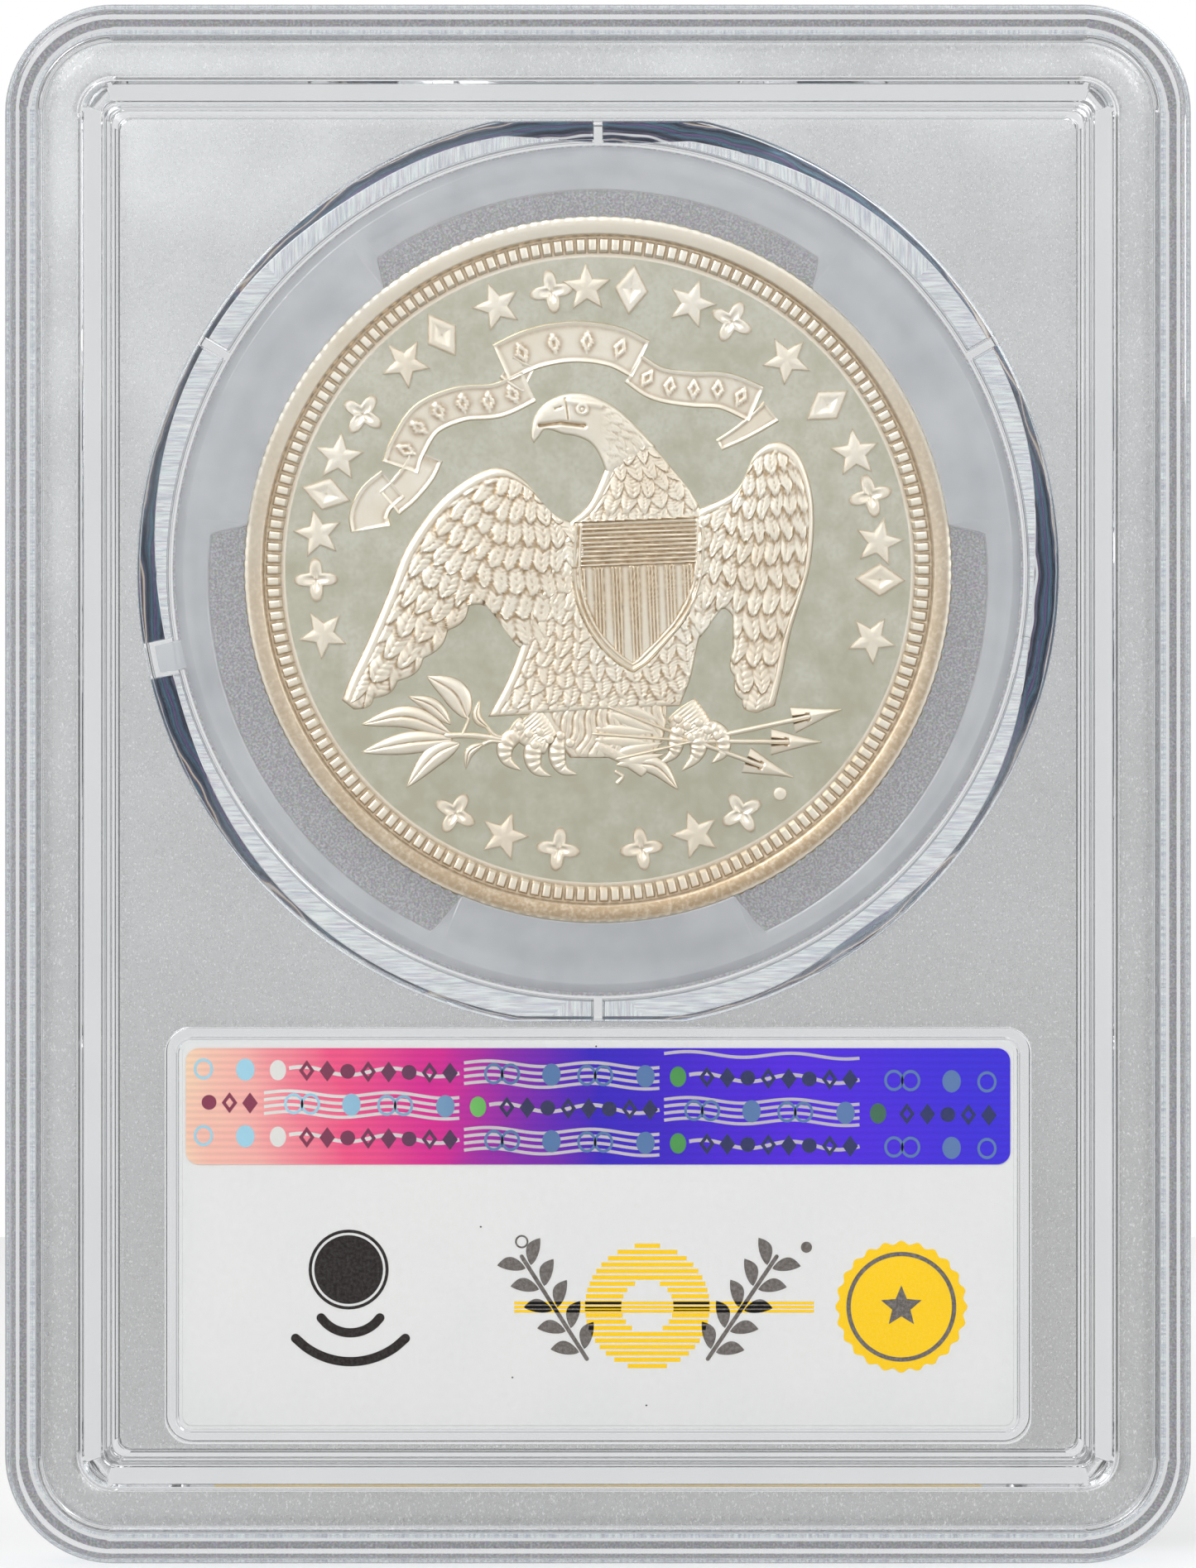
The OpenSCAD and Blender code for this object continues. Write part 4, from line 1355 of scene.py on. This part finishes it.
def band(points, half_width, samples=80, rounded=True):
    """Outline of a stroke of even width along a curve, with round or square ends."""
    line = curve(points, samples)
    tangent = np.gradient(line, axis=0)
    tangent /= np.linalg.norm(tangent, axis=1)[:, None]
    normal = np.stack([-tangent[:, 1], tangent[:, 0]], axis=1)
    left, right = line + normal * half_width, line - normal * half_width
    if not rounded:
        return np.concatenate([right, left[::-1]])
    a = np.linspace(0, math.pi, 12)[1:-1, None]
    cap = -np.cos(a) * normal[-1] + np.sin(a) * tangent[-1]
    tail = np.cos(a) * normal[0] - np.sin(a) * tangent[0]
    return np.concatenate([right, line[-1] + cap * half_width, left[::-1], line[0] + tail * half_width])


def arc_points(centre, radius, start, end, count=9):
    a = np.radians(np.linspace(start, end, count))
    return np.stack([centre[0] + radius * np.cos(a), centre[1] + radius * np.sin(a)], axis=1)


def disc(centre, radius, count=48, flat=1.0):
    a = np.linspace(0, 2 * math.pi, count, endpoint=False)
    return np.stack([centre[0] + radius * np.cos(a), centre[1] + radius * flat * np.sin(a)], axis=1)


def box_outline(u, v, half_u, half_v):
    return np.array([(u, v)]) + np.array([(-1, -1), (1, -1), (1, 1), (-1, 1)]) * (half_u, half_v)


def laurel(root, tip, leaves, reach, width):
    """Outlines of a sprig: a thin stem with pairs of pointed leaves leaning towards its tip."""
    root, tip = np.array(root, float), np.array(tip, float)
    ahead = (tip - root) / np.linalg.norm(tip - root)
    beside = np.array((-ahead[1], ahead[0]))
    loops = [band([root, (root + tip) / 2, tip], 0.11)]
    for place in np.linspace(0.08, 0.9, leaves):
        for side in (-1, 1):
            start = root + (tip - root) * place + beside * side * 0.16
            end = start + reach * (0.62 * ahead + 0.78 * side * beside)
            s = np.linspace(0, 1, 16)
            half = width * np.sin(math.pi * s**0.85) ** 0.9
            line = start + (end - start) * s[:, None] + ahead * (0.22 * np.sin(math.pi * s))[:, None]
            normal = np.array((-(end - start)[1], (end - start)[0])) / reach
            side = normal * half[:, None]
            loops.append(np.concatenate([line + side, (line - side)[-2:0:-1]]))
    return loops


def striped_disc(centre, radius, pitch, share):
    """Outlines of level bars cut to a disc, with a plain round hole left in the middle."""
    loops = []
    for v in np.arange(-radius + pitch / 2, radius, pitch):
        half = math.sqrt(max(radius**2 - v**2, 0))
        hole = math.sqrt(max((0.42 * radius) ** 2 - v**2, 0))
        if half < 0.2:
            continue
        for side in ((-1, 1) if hole else (0,)):
            middle = side * (half + hole) / 2
            width = (half - hole) / 2 if hole else half
            loops.append(box_outline(centre[0] + middle, centre[1] + v, width, pitch * share / 2))
    return loops


def print_on(parts, groups, bottom, thickness):
    """Adds one plate for each group of outlines that belong together."""
    for group in groups:
        for points, faces in printed(group, bottom, thickness):
            parts.add(points, faces)


def black_print():
    """Plain round tag sign and two contactless arcs."""
    centre = (-13.4, -26.1)
    rings = [[disc(centre, 2.15), disc(centre, 1.98)], [disc(centre, 1.85)]]
    small = [[band(arc_points((-13.3, -27.55), 1.95, 216, 324), 0.25)]]
    large = [[band(arc_points((-13.3, -26.95), 4.1, 224, 316), 0.25)]]
    specks = [[disc(place, 0.05, 8)] for place in ((-6.3, -23.8), (-4.6, -31.9), (-0.1, -14.1), (2.6, -33.4))]
    return rings + small + large + specks


def grey_print():
    """Two laurel sprigs either side of the striped coin, and a small ring."""
    left = laurel((-0.6, -30.9), (-4.1, -25.4), 5, 1.55, 0.36)
    right = laurel((5.9, -30.9), (9.6, -25.4), 5, 1.55, 0.36)
    stacked = [[loop] for loop in left + right]
    return stacked + [[disc((-4.1, -24.6), 0.36), disc((-4.1, -24.6), 0.26)]] + [[disc((11.2, -24.9), 0.3)]]


def yellow_print():
    """Striped coin crossed by three level lines, and the round seal with a scalloped edge."""
    stripes = [[loop] for loop in striped_disc((2.65, -28.1), 3.35, 0.34, 0.68)]
    lines = [[box_outline(3.55, v, 8.05, 0.075)] for v in (-27.9, -28.12, -28.34)]
    a = np.linspace(0, 2 * math.pi, 240, endpoint=False)
    edge = 3.45 + 0.1 * np.cos(a * 24)
    seal = np.stack([16.3 + edge * np.cos(a), -28.1 + edge * np.sin(a)], axis=1)
    return stripes + lines + [[seal]]


def seal_ring():
    """Dark ring and small star on the seal."""
    a = np.linspace(0, 2 * math.pi, 60, endpoint=False)
    reach = 1.15 * star(5, 0.45)(a)
    star_loop = np.stack([16.3 - reach * np.sin(a), -28.1 + reach * np.cos(a)], axis=1)
    return [[disc((16.3, -28.1), 2.95, 96), disc((16.3, -28.1), 2.72, 96)], [star_loop]]


def front_print():
    """Front label without words: title bars, small lines, a framed box and a row of upright bars; not its
    foot band.
    """
    title = [[box_outline(u, 6.6, half, 0.75)] for u, half in ((-15.5, 4.2), (-7.6, 2.6), (-1.5, 2.4))]
    lines = [[box_outline(-10.5 + shift, v, half, 0.3)] for shift, v, half in (
        (0, 3.9, 9.2), (-2.2, 2.5, 7.0), (-0.9, 1.1, 8.3))]
    grade = [
        [box_outline(16.2, 5.4, 3.6, 1.9), box_outline(16.2, 5.4, 3.2, 1.5)],
        [box_outline(16.2, 5.4, 2.2, 0.5)],
    ]
    widths = np.array([
        0.30, 0.14, 0.22, 0.14, 0.38, 0.14, 0.22, 0.30, 0.14, 0.14, 0.38, 0.22, 0.14, 0.30, 0.22, 0.14,
    ])
    places = 12.6 + np.cumsum(widths + 0.3) - widths / 2
    code = [[box_outline(u, 0.9, width / 2, 1.2)] for u, width in zip(places, widths)]
    return title + lines + grade + code


def wavy(start, end, v, amplitude, turns, half_width, lean, phase=0.0):
    """Outline of a level wave between two places along the strip."""
    u = np.linspace(start, end, 60)
    wave = v + lean * u + amplitude * np.sin(2 * math.pi * ((u - start) / (end - start) * turns + phase))
    return band(np.stack([u, wave], axis=1), half_width, samples=60, rounded=False)


FOIL_LEAN = -0.0165


def foil_cells():
    """Stamped pattern in a chequerboard of cells that leans a little: cells with a thick wave and dark
    shapes, and cells with four thin waves, pairs of rings and small tags. Returns the outlines by colour."""
    low_u, high_u = -FOIL_HALF[0] + 0.12, FOIL_HALF[0] - 0.12
    low_v, high_v = FOIL_V - FOIL_HALF[1] + 0.08, FOIL_V + FOIL_HALF[1] - 0.08
    found = {"pale": [], "dark": [], "blue": [], "green": []}

    def keep(colour, loops):
        points = np.concatenate(loops)
        if points[:, 0].min() < low_u or points[:, 0].max() > high_u:
            return
        if points[:, 1].min() < low_v or points[:, 1].max() > high_v:
            return
        found[colour].append(loops)

    for column in range(5):
        start = -28.7 + 10.75 * column
        for row in range(-1, 4):
            v = -15.55 - 1.79 * row
            lean = FOIL_LEAN
            first, last = max(start, low_u), min(start + 10.5, high_u)

            def at(u):
                return v + lean * (u + 7)

            if (column + row) % 2:
                spot = disc((start + 0.75, at(start + 0.75)), 0.44, 20, 1.25)
                keep("green" if column > 1 else "pale", [spot])
                keep("pale", [wavy(max(first, start + 1.35), last, v + lean * 7, 0.2, 1.9, 0.1, lean, 0.1)])
                for rank in range(8):
                    u = start + 2.3 + 1.1 * rank
                    tall = disc((u, at(u)), 0.42, 4, 1.35)
                    small, round_spot = disc((u, at(u)), 0.2, 4, 1.35), disc((u, at(u)), 0.4, 20)
                    for loops in ([tall, small], [tall], [round_spot])[rank % 3::3]:
                        keep("dark", loops)
            else:
                for line in range(4):
                    height = v + lean * 7 + 0.37 * (line - 1.5)
                    keep("pale", [wavy(first, last, height, 0.13, 1.9 * (last - first) / 10.5, 0.085, lean)])
                for shift in (4.7, 9.75):
                    u = start + shift
                    keep("blue", [disc((u, at(u)), 0.5, 20, 1.2)])
                for shift in (1.6, 2.5, 6.6, 7.5):
                    u = start + shift
                    keep("blue", [disc((u, at(u)), 0.52, 24, 1.1), disc((u, at(u)), 0.38, 24, 1.1)])
    return found


# ---------------------------------------------------------------- add-on


def coin_piece(name, shapes, materials, turned=False):
    """Raised piece of the coin from relief shapes, on its rear face or turned over onto its front."""
    parts = Parts()
    for points, faces in shapes:
        points = np.asarray(points, float).copy()
        points[:, 1] += COIN_V
        parts.add(points, faces)
    if turned:
        parts.turned_over()
    piece = parts.build(name, materials, 40)
    return piece


def print_piece(name, groups, material, bottom, thickness, turned=False):
    parts = Parts()
    print_on(parts, groups, bottom, thickness)
    if turned:
        parts.turned_over()
    piece = parts.build(name, [material])
    return piece


class CoinSettings(bpy.types.PropertyGroup):
    """Colours of the coin."""

    field_light: FloatVectorProperty(
        name="Field", description="Mirror field where it is clean", subtype="COLOR",
        default=(0.95, 0.93, 0.79)
    )
    field_dark: FloatVectorProperty(
        name="Field toning", description="Mirror field where it is toned", subtype="COLOR",
        default=(0.77, 0.74, 0.57)
    )
    frost_light: FloatVectorProperty(
        name="Frost", description="Frosted relief where it is clean", subtype="COLOR",
        default=(0.92, 0.87, 0.76)
    )
    frost_dark: FloatVectorProperty(
        name="Frost toning", description="Frosted relief where it is toned", subtype="COLOR",
        default=(0.86, 0.76, 0.61)
    )
    # Edge colour of creases and the relief's foot: toning there together with painted shade.
    edge_toning_and_shade: FloatVectorProperty(
        name="Edge tone", description="Warm tone at the foot of the relief", subtype="COLOR",
        default=(0.44, 0.31, 0.18)
    )


class PrintSettings(bpy.types.PropertyGroup):
    """Inks of the labels."""

    black: FloatVectorProperty(
        name="Black", description="Ink of the tag sign and the front label", subtype="COLOR",
        default=(0.012, 0.006, 0.005)
    )
    grey: FloatVectorProperty(
        name="Grey", description="Warm grey ink of the sprigs", subtype="COLOR", default=(0.125, 0.104, 0.09)
    )
    yellow: FloatVectorProperty(
        name="Yellow", description="Yellow ink", subtype="COLOR", default=(1.0, 0.61, 0.0)
    )


class StageSettings(bpy.types.PropertyGroup):
    """Camera and light."""

    distance: FloatProperty(
        name="Camera distance", description="From the camera to the slab's middle", unit="LENGTH", default=0.7
    )
    key_power: FloatProperty(
        name="Key light", description="Power of the main softbox in watts",
        default=1.6, min=0.0,
    )
    fill_power: FloatProperty(
        name="Fill light", description="Power of the side softboxes in watts",
        default=0.5, min=0,
    )


class SLAB_OT_shells(bpy.types.Operator):
    """Builds both clear half shells"""

    bl_idname = "slab.shells"
    bl_label = "Shells"

    def execute(self, context):
        finishes = [clear_plastic(), satin_plastic(), weld_plastic(), streaked_plastic(), stress_lines_on_painted_shade()]
        rear = shell_parts(0.7, 0.6, LEDGE, True).build("rear_half_shell", finishes, 50, 0.001, True)
        other = shell_parts(0.7, 0.0, -FRONT_LABEL_W + 0.03, False)
        other.turned_over()
        front = other.build("front_half_shell", finishes, 50, 0.001, True)
        for piece, node in ((rear, "rear_shell"), (front, "front_shell")):
            flatten = piece.modifiers.new("Weighted Normal", "WEIGHTED_NORMAL")
            flatten.keep_sharp = True
            flatten.weight = 100
            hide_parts(node)
        return {"FINISHED"}


class SLAB_OT_insert(bpy.types.Operator):
    """Builds the milky ring insert that grips the coin"""

    bl_idname = "slab.insert"
    bl_label = "Ring insert"

    def execute(self, context):
        piece = ring_parts().build("ring_insert", [milky_plastic()], 40)
        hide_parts("coin_ring")
        return {"FINISHED"}


class SLAB_OT_coin(bpy.types.Operator):
    """Builds the coin's blank with its beads, rim and reeded edge"""

    bl_idname = "slab.coin"
    bl_label = "Coin"

    def execute(self, context):
        field, frost = coin_finishes(context)
        piece = blank_parts().build("coin_blank", [frost, field], 35, 0.001)
        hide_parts("coin")
        return {"FINISHED"}


def coin_finishes(context):
    """Mirror field and frosted relief, made once and shared by the coin's pieces."""
    found = [bpy.data.materials.get(name) for name in ("silver_field", "silver_frost")]
    if all(found):
        return found
    look = context.scene.coin_settings
    return [
        coin_metal("silver_field", look.field_light, look.field_dark, look.field_dark, 0.3, 0.004, 1.6),
        coin_metal("silver_frost", look.frost_light, look.frost_dark, look.edge_toning_and_shade, 0.45, 0.01, 4.0),
    ]


class SLAB_OT_eagle(bpy.types.Operator):
    """Strikes the eagle: wings, breast, head and shield"""

    bl_idname = "slab.eagle"
    bl_label = "Eagle"

    def execute(self, context):
        _, frost = coin_finishes(context)
        wings = [
            plumage(*LEFT_WING, 210, 110, lambda p: feathers(p, (-3.2, 8.2), 0.62, 0.74, 0.8),
                0.13, scallops=(11, 0.3)),
            plumage(*RIGHT_WING, 190, 90, lambda p: feathers(p, (9.0, 9.6), 0.6, 0.68, 0.8),
                0.13, scallops=(8, 0.22)),
        ]
        coin_piece("coin_wings", wings, [frost])
        hidden = np.concatenate([curve(SHIELD[0], 40), curve(SHIELD[1], 40)[::-1]])
        breast = plumage(*BREAST, 250, 150, body_fill, 0.11, 0.06, 0.05, under=hidden)
        tail = plumage(*TAIL, 90, 110, streaks, 0.07, 0.03, 0.03)
        coin_piece("coin_breast", [breast, tail], [frost])
        coin_piece("coin_shield", [shield_parts()], [frost])
        coin_piece("coin_head", [head_parts()], [frost])
        return {"FINISHED"}


class SLAB_OT_ribbon(bpy.types.Operator):
    """Strikes the ribbon above the eagle"""

    bl_idname = "slab.ribbon"
    bl_label = "Ribbon"

    def execute(self, context):
        _, frost = coin_finishes(context)
        shapes = [
            ribbon_piece(points, width, ornaments, fold=fold, taper=taper)
            for points, width, ornaments, fold, taper in RIBBON
        ]
        coin_piece("coin_ribbon", shapes, [frost])
        return {"FINISHED"}


class SLAB_OT_branch(bpy.types.Operator):
    """Strikes the branch, the arrows and the claws that hold them"""

    bl_idname = "slab.branch"
    bl_label = "Branch, arrows and claws"

    def execute(self, context):
        _, frost = coin_finishes(context)
        coin_piece("coin_branch", branch_parts(), [frost])
        coin_piece("coin_arrows", arrow_parts(), [frost])
        coin_piece("coin_claws", claw_parts(), [frost])
        return {"FINISHED"}


class SLAB_OT_legend(bpy.types.Operator):
    """Strikes the ring of ornaments round the eagle"""

    bl_idname = "slab.legend"
    bl_label = "Ring of ornaments"

    def execute(self, context):
        _, frost = coin_finishes(context)
        coin_piece("coin_ornaments", legend_parts(), [frost])
        return {"FINISHED"}


class SLAB_OT_front(bpy.types.Operator):
    """Strikes the coin's front: wreath, stars and a plain shield"""

    bl_idname = "slab.front"
    bl_label = "Front of the coin"

    def execute(self, context):
        _, frost = coin_finishes(context)
        coin_piece("coin_front_wreath", wreath_parts(), [frost], turned=True)
        coin_piece("coin_front_shield", [plain_shield_parts()], [frost], turned=True)
        return {"FINISHED"}


class SLAB_OT_print(bpy.types.Operator):
    """Prints both labels"""

    bl_idname = "slab.print"
    bl_label = "Label print"

    def execute(self, context):
        look = context.scene.print_settings
        black = ink("ink_black", look.black, 0.03)
        dark = ink("ink_grey", look.grey, 0.1)
        yellow = ink("ink_yellow", look.yellow, 0.03)
        film = 0.012
        print_piece("rear_print_tag_sign", black_print(), black, LABEL_W, film)
        print_piece("rear_print_sprigs", grey_print(), dark, LABEL_W, film)
        print_piece("rear_print_yellow", yellow_print(), yellow, LABEL_W, film)
        print_piece("rear_print_seal", seal_ring(), dark, LABEL_W + film, film)
        raised = [[loop + (0, LABEL_V) for loop in group] for group in front_print()]
        band_group = [[box_outline(0, LABEL_V - 7.6, 20.8, 1.5)]]
        print_piece("front_print_bars", raised, black, -FRONT_LABEL_W, film, turned=True)
        print_piece("front_print_band", band_group, yellow, -FRONT_LABEL_W, film, turned=True)
        return {"FINISHED"}


class SLAB_OT_foil(bpy.types.Operator):
    """Stamps the foil strip's pattern"""

    bl_idname = "slab.foil"
    bl_label = "Foil pattern"

    def execute(self, context):
        hues = {
            "pale": ((0.95, 0.93, 0.86), (0.72, 0.64, 0.66), (0.62, 0.56, 0.66)),
            "dark": ((0.30, 0.03, 0.08), (0.02, 0.02, 0.09), (0.012, 0.025, 0.14)),
            "blue": ((0.45, 0.80, 0.95), (0.10, 0.22, 0.45), (0.12, 0.24, 0.50)),
            "green": ((0.8, 0.9, 0.6), (0.10, 0.55, 0.06), (0.04, 0.13, 0.09)),
        }
        heights = {"pale": 0.006, "dark": 0.01, "blue": 0.012, "green": 0.012}
        for colour, groups in foil_cells().items():
            material = stamped(f"foil_{colour}", hues[colour])
            print_piece(f"foil_pattern_{colour}", groups, material, FOIL_W, heights[colour])
        return {"FINISHED"}


class SLAB_OT_label(bpy.types.Operator):
    """Gives the labels, foil and tag their finishes"""

    bl_idname = "slab.label"
    bl_label = "Label and tag"

    def execute(self, context):
        stock = paper()
        finishes = {
            "front_label": stock, "rear_label": stock, "foil_strip": foil(), "tag_film": film(),
            "tag_antenna": antenna_metal(), "tag_chip": chip_resin(),
        }
        for node, material in finishes.items():
            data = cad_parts[node].data
            data.materials.clear()
            data.materials.append(material)
        return {"FINISHED"}


class SLAB_OT_stage(bpy.types.Operator):
    """Sets the floor, the camera and the studio light"""

    bl_idname = "slab.stage"
    bl_label = "Stage"

    def execute(self, context):
        look = context.scene.stage_settings
        scene = context.scene
        scene.view_settings.view_transform = "Standard"
        middle = Vector((0, 0, CENTRE_Z * MM))

        reach, drop = 0.5, 0.00005
        floor = bpy.data.meshes.new("floor")
        sides = ((-reach, -reach), (reach, -reach), (reach, reach), (-reach, reach))
        corners = [(x, y, -drop) for x, y in sides]
        floor.from_pydata(corners, [], [(0, 1, 2, 3)])
        floor.materials.append(pale_floor())
        plane = bpy.data.objects.new("floor", floor)
        scene.collection.objects.link(plane)
        plane.visible_glossy = False
        plane.visible_transmission = False

        camera = bpy.data.cameras.new("camera")
        camera.sensor_fit = "VERTICAL"
        camera.sensor_height = 24
        seen = 83.9 * MM
        camera.lens = camera.sensor_height * (look.distance - SLAB_T / 2 * MM) / seen
        camera.clip_start = 0.01
        eye = bpy.data.objects.new("camera", camera)
        eye.location = middle + Vector((0, -look.distance, 0))
        eye.rotation_euler = (math.pi / 2, 0, 0)
        scene.collection.objects.link(eye)
        scene.camera = eye

        lamps = (
            ("key_softbox", (-0.30, -0.45, 0.40), 0.30, look.key_power),
            ("fill_softbox", (0.40, -0.40, 0.20), 0.25, look.fill_power),
            ("back_softbox", (0.25, 0.45, 0.35), 0.30, look.fill_power),
        )
        for name, place, size, power in lamps:
            light = bpy.data.lights.new(name, "AREA")
            light.shape = "SQUARE"
            light.size = size
            light.energy = power
            lamp = bpy.data.objects.new(name, light)
            lamp.location = place
            lamp.rotation_euler = (middle - lamp.location).to_track_quat("-Z", "Y").to_euler()
            lamp.visible_camera = False
            scene.collection.objects.link(lamp)
        studio_world(scene)
        return {"FINISHED"}


def studio_world(scene):
    """White backdrop for the camera; for reflections and refractions a tent of light that is brightest behind
    the slab, grey in front of it and dark towards the sides."""
    world = bpy.data.worlds.new("studio")
    scene.world = world
    world.use_nodes = True
    tree = world.node_tree
    tree.nodes.clear()

    def add(kind, inputs, **settings):
        node = tree.nodes.new(kind)
        for key, value in settings.items():
            setattr(node, key, value)
        for key, value in inputs.items():
            if isinstance(value, bpy.types.NodeSocket):
                tree.links.new(value, node.inputs[key])
            else:
                node.inputs[key].default_value = value
        return node

    direction = add("ShaderNodeSeparateXYZ", {"Vector": add("ShaderNodeTexCoord", {}).outputs["Generated"]})
    above = add("ShaderNodeMapRange", {
        "Value": direction.outputs["Z"], "From Min": 0.3, "From Max": 0.95, "To Min": 0.0, "To Max": 1.1,
    })
    share = add("ShaderNodeMapRange", {"Value": direction.outputs["Y"], "From Min": -1.0, "From Max": 1.0})
    ramp = add("ShaderNodeValToRGB", {"Fac": share.outputs[0]})
    stops = [
        (0.0, 0.12), (0.003, 0.12), (0.009, 0.95), (0.2, 0.8), (0.36, 0.25), (0.5, 0.1),
        (0.86, 0.12), (0.965, 0.8), (1.0, 0.85),
    ]
    elements = ramp.color_ramp.elements
    while len(elements) < len(stops):
        elements.new(0.5)
    for element, (position, value) in zip(elements, stops):
        element.position = position
        element.color = grey(value)
    brightness = add("ShaderNodeMath", {0: ramp.outputs["Color"], 1: above.outputs[0]}, operation="MAXIMUM")
    lit = add("ShaderNodeBackground", {"Color": grey(1.0), "Strength": brightness.outputs[0]})
    backdrop = add("ShaderNodeBackground", {"Color": grey(1.0), "Strength": 1.0})
    seen = add("ShaderNodeLightPath", {}).outputs["Is Camera Ray"]
    mixed = add("ShaderNodeMixShader", {0: seen, 1: lit.outputs[0], 2: backdrop.outputs[0]})
    add("ShaderNodeOutputWorld", {"Surface": mixed.outputs[0]})


OPERATORS = (
    SLAB_OT_shells, SLAB_OT_insert, SLAB_OT_coin, SLAB_OT_eagle, SLAB_OT_ribbon, SLAB_OT_branch,
    SLAB_OT_legend,
    SLAB_OT_front, SLAB_OT_print, SLAB_OT_foil, SLAB_OT_label, SLAB_OT_stage,
)


class SLAB_PT_build(bpy.types.Panel):
    """Lists the slab's building steps"""

    bl_label = "Coin Slab"
    bl_space_type = "VIEW_3D"
    bl_region_type = "UI"
    bl_category = "Coin Slab"

    def draw(self, context):
        for operator in OPERATORS:
            self.layout.operator(operator.bl_idname)
        scene = context.scene
        for group in (scene.coin_settings, scene.print_settings, scene.stage_settings):
            for name in group.__annotations__:
                self.layout.prop(group, name)


CLASSES = (CoinSettings, PrintSettings, StageSettings, *OPERATORS, SLAB_PT_build)


def register():
    for cls in CLASSES:
        bpy.utils.register_class(cls)
    bpy.types.Scene.coin_settings = PointerProperty(type=CoinSettings)
    bpy.types.Scene.print_settings = PointerProperty(type=PrintSettings)
    bpy.types.Scene.stage_settings = PointerProperty(type=StageSettings)


def unregister():
    del bpy.types.Scene.stage_settings
    del bpy.types.Scene.print_settings
    del bpy.types.Scene.coin_settings
    for cls in reversed(CLASSES):
        bpy.utils.unregister_class(cls)


def main():
    register()
    for operator in OPERATORS:
        family, step = operator.bl_idname.split(".")
        getattr(getattr(bpy.ops, family), step)()
    bpy.context.view_layer.update()


if __name__ == "__main__":
    main()
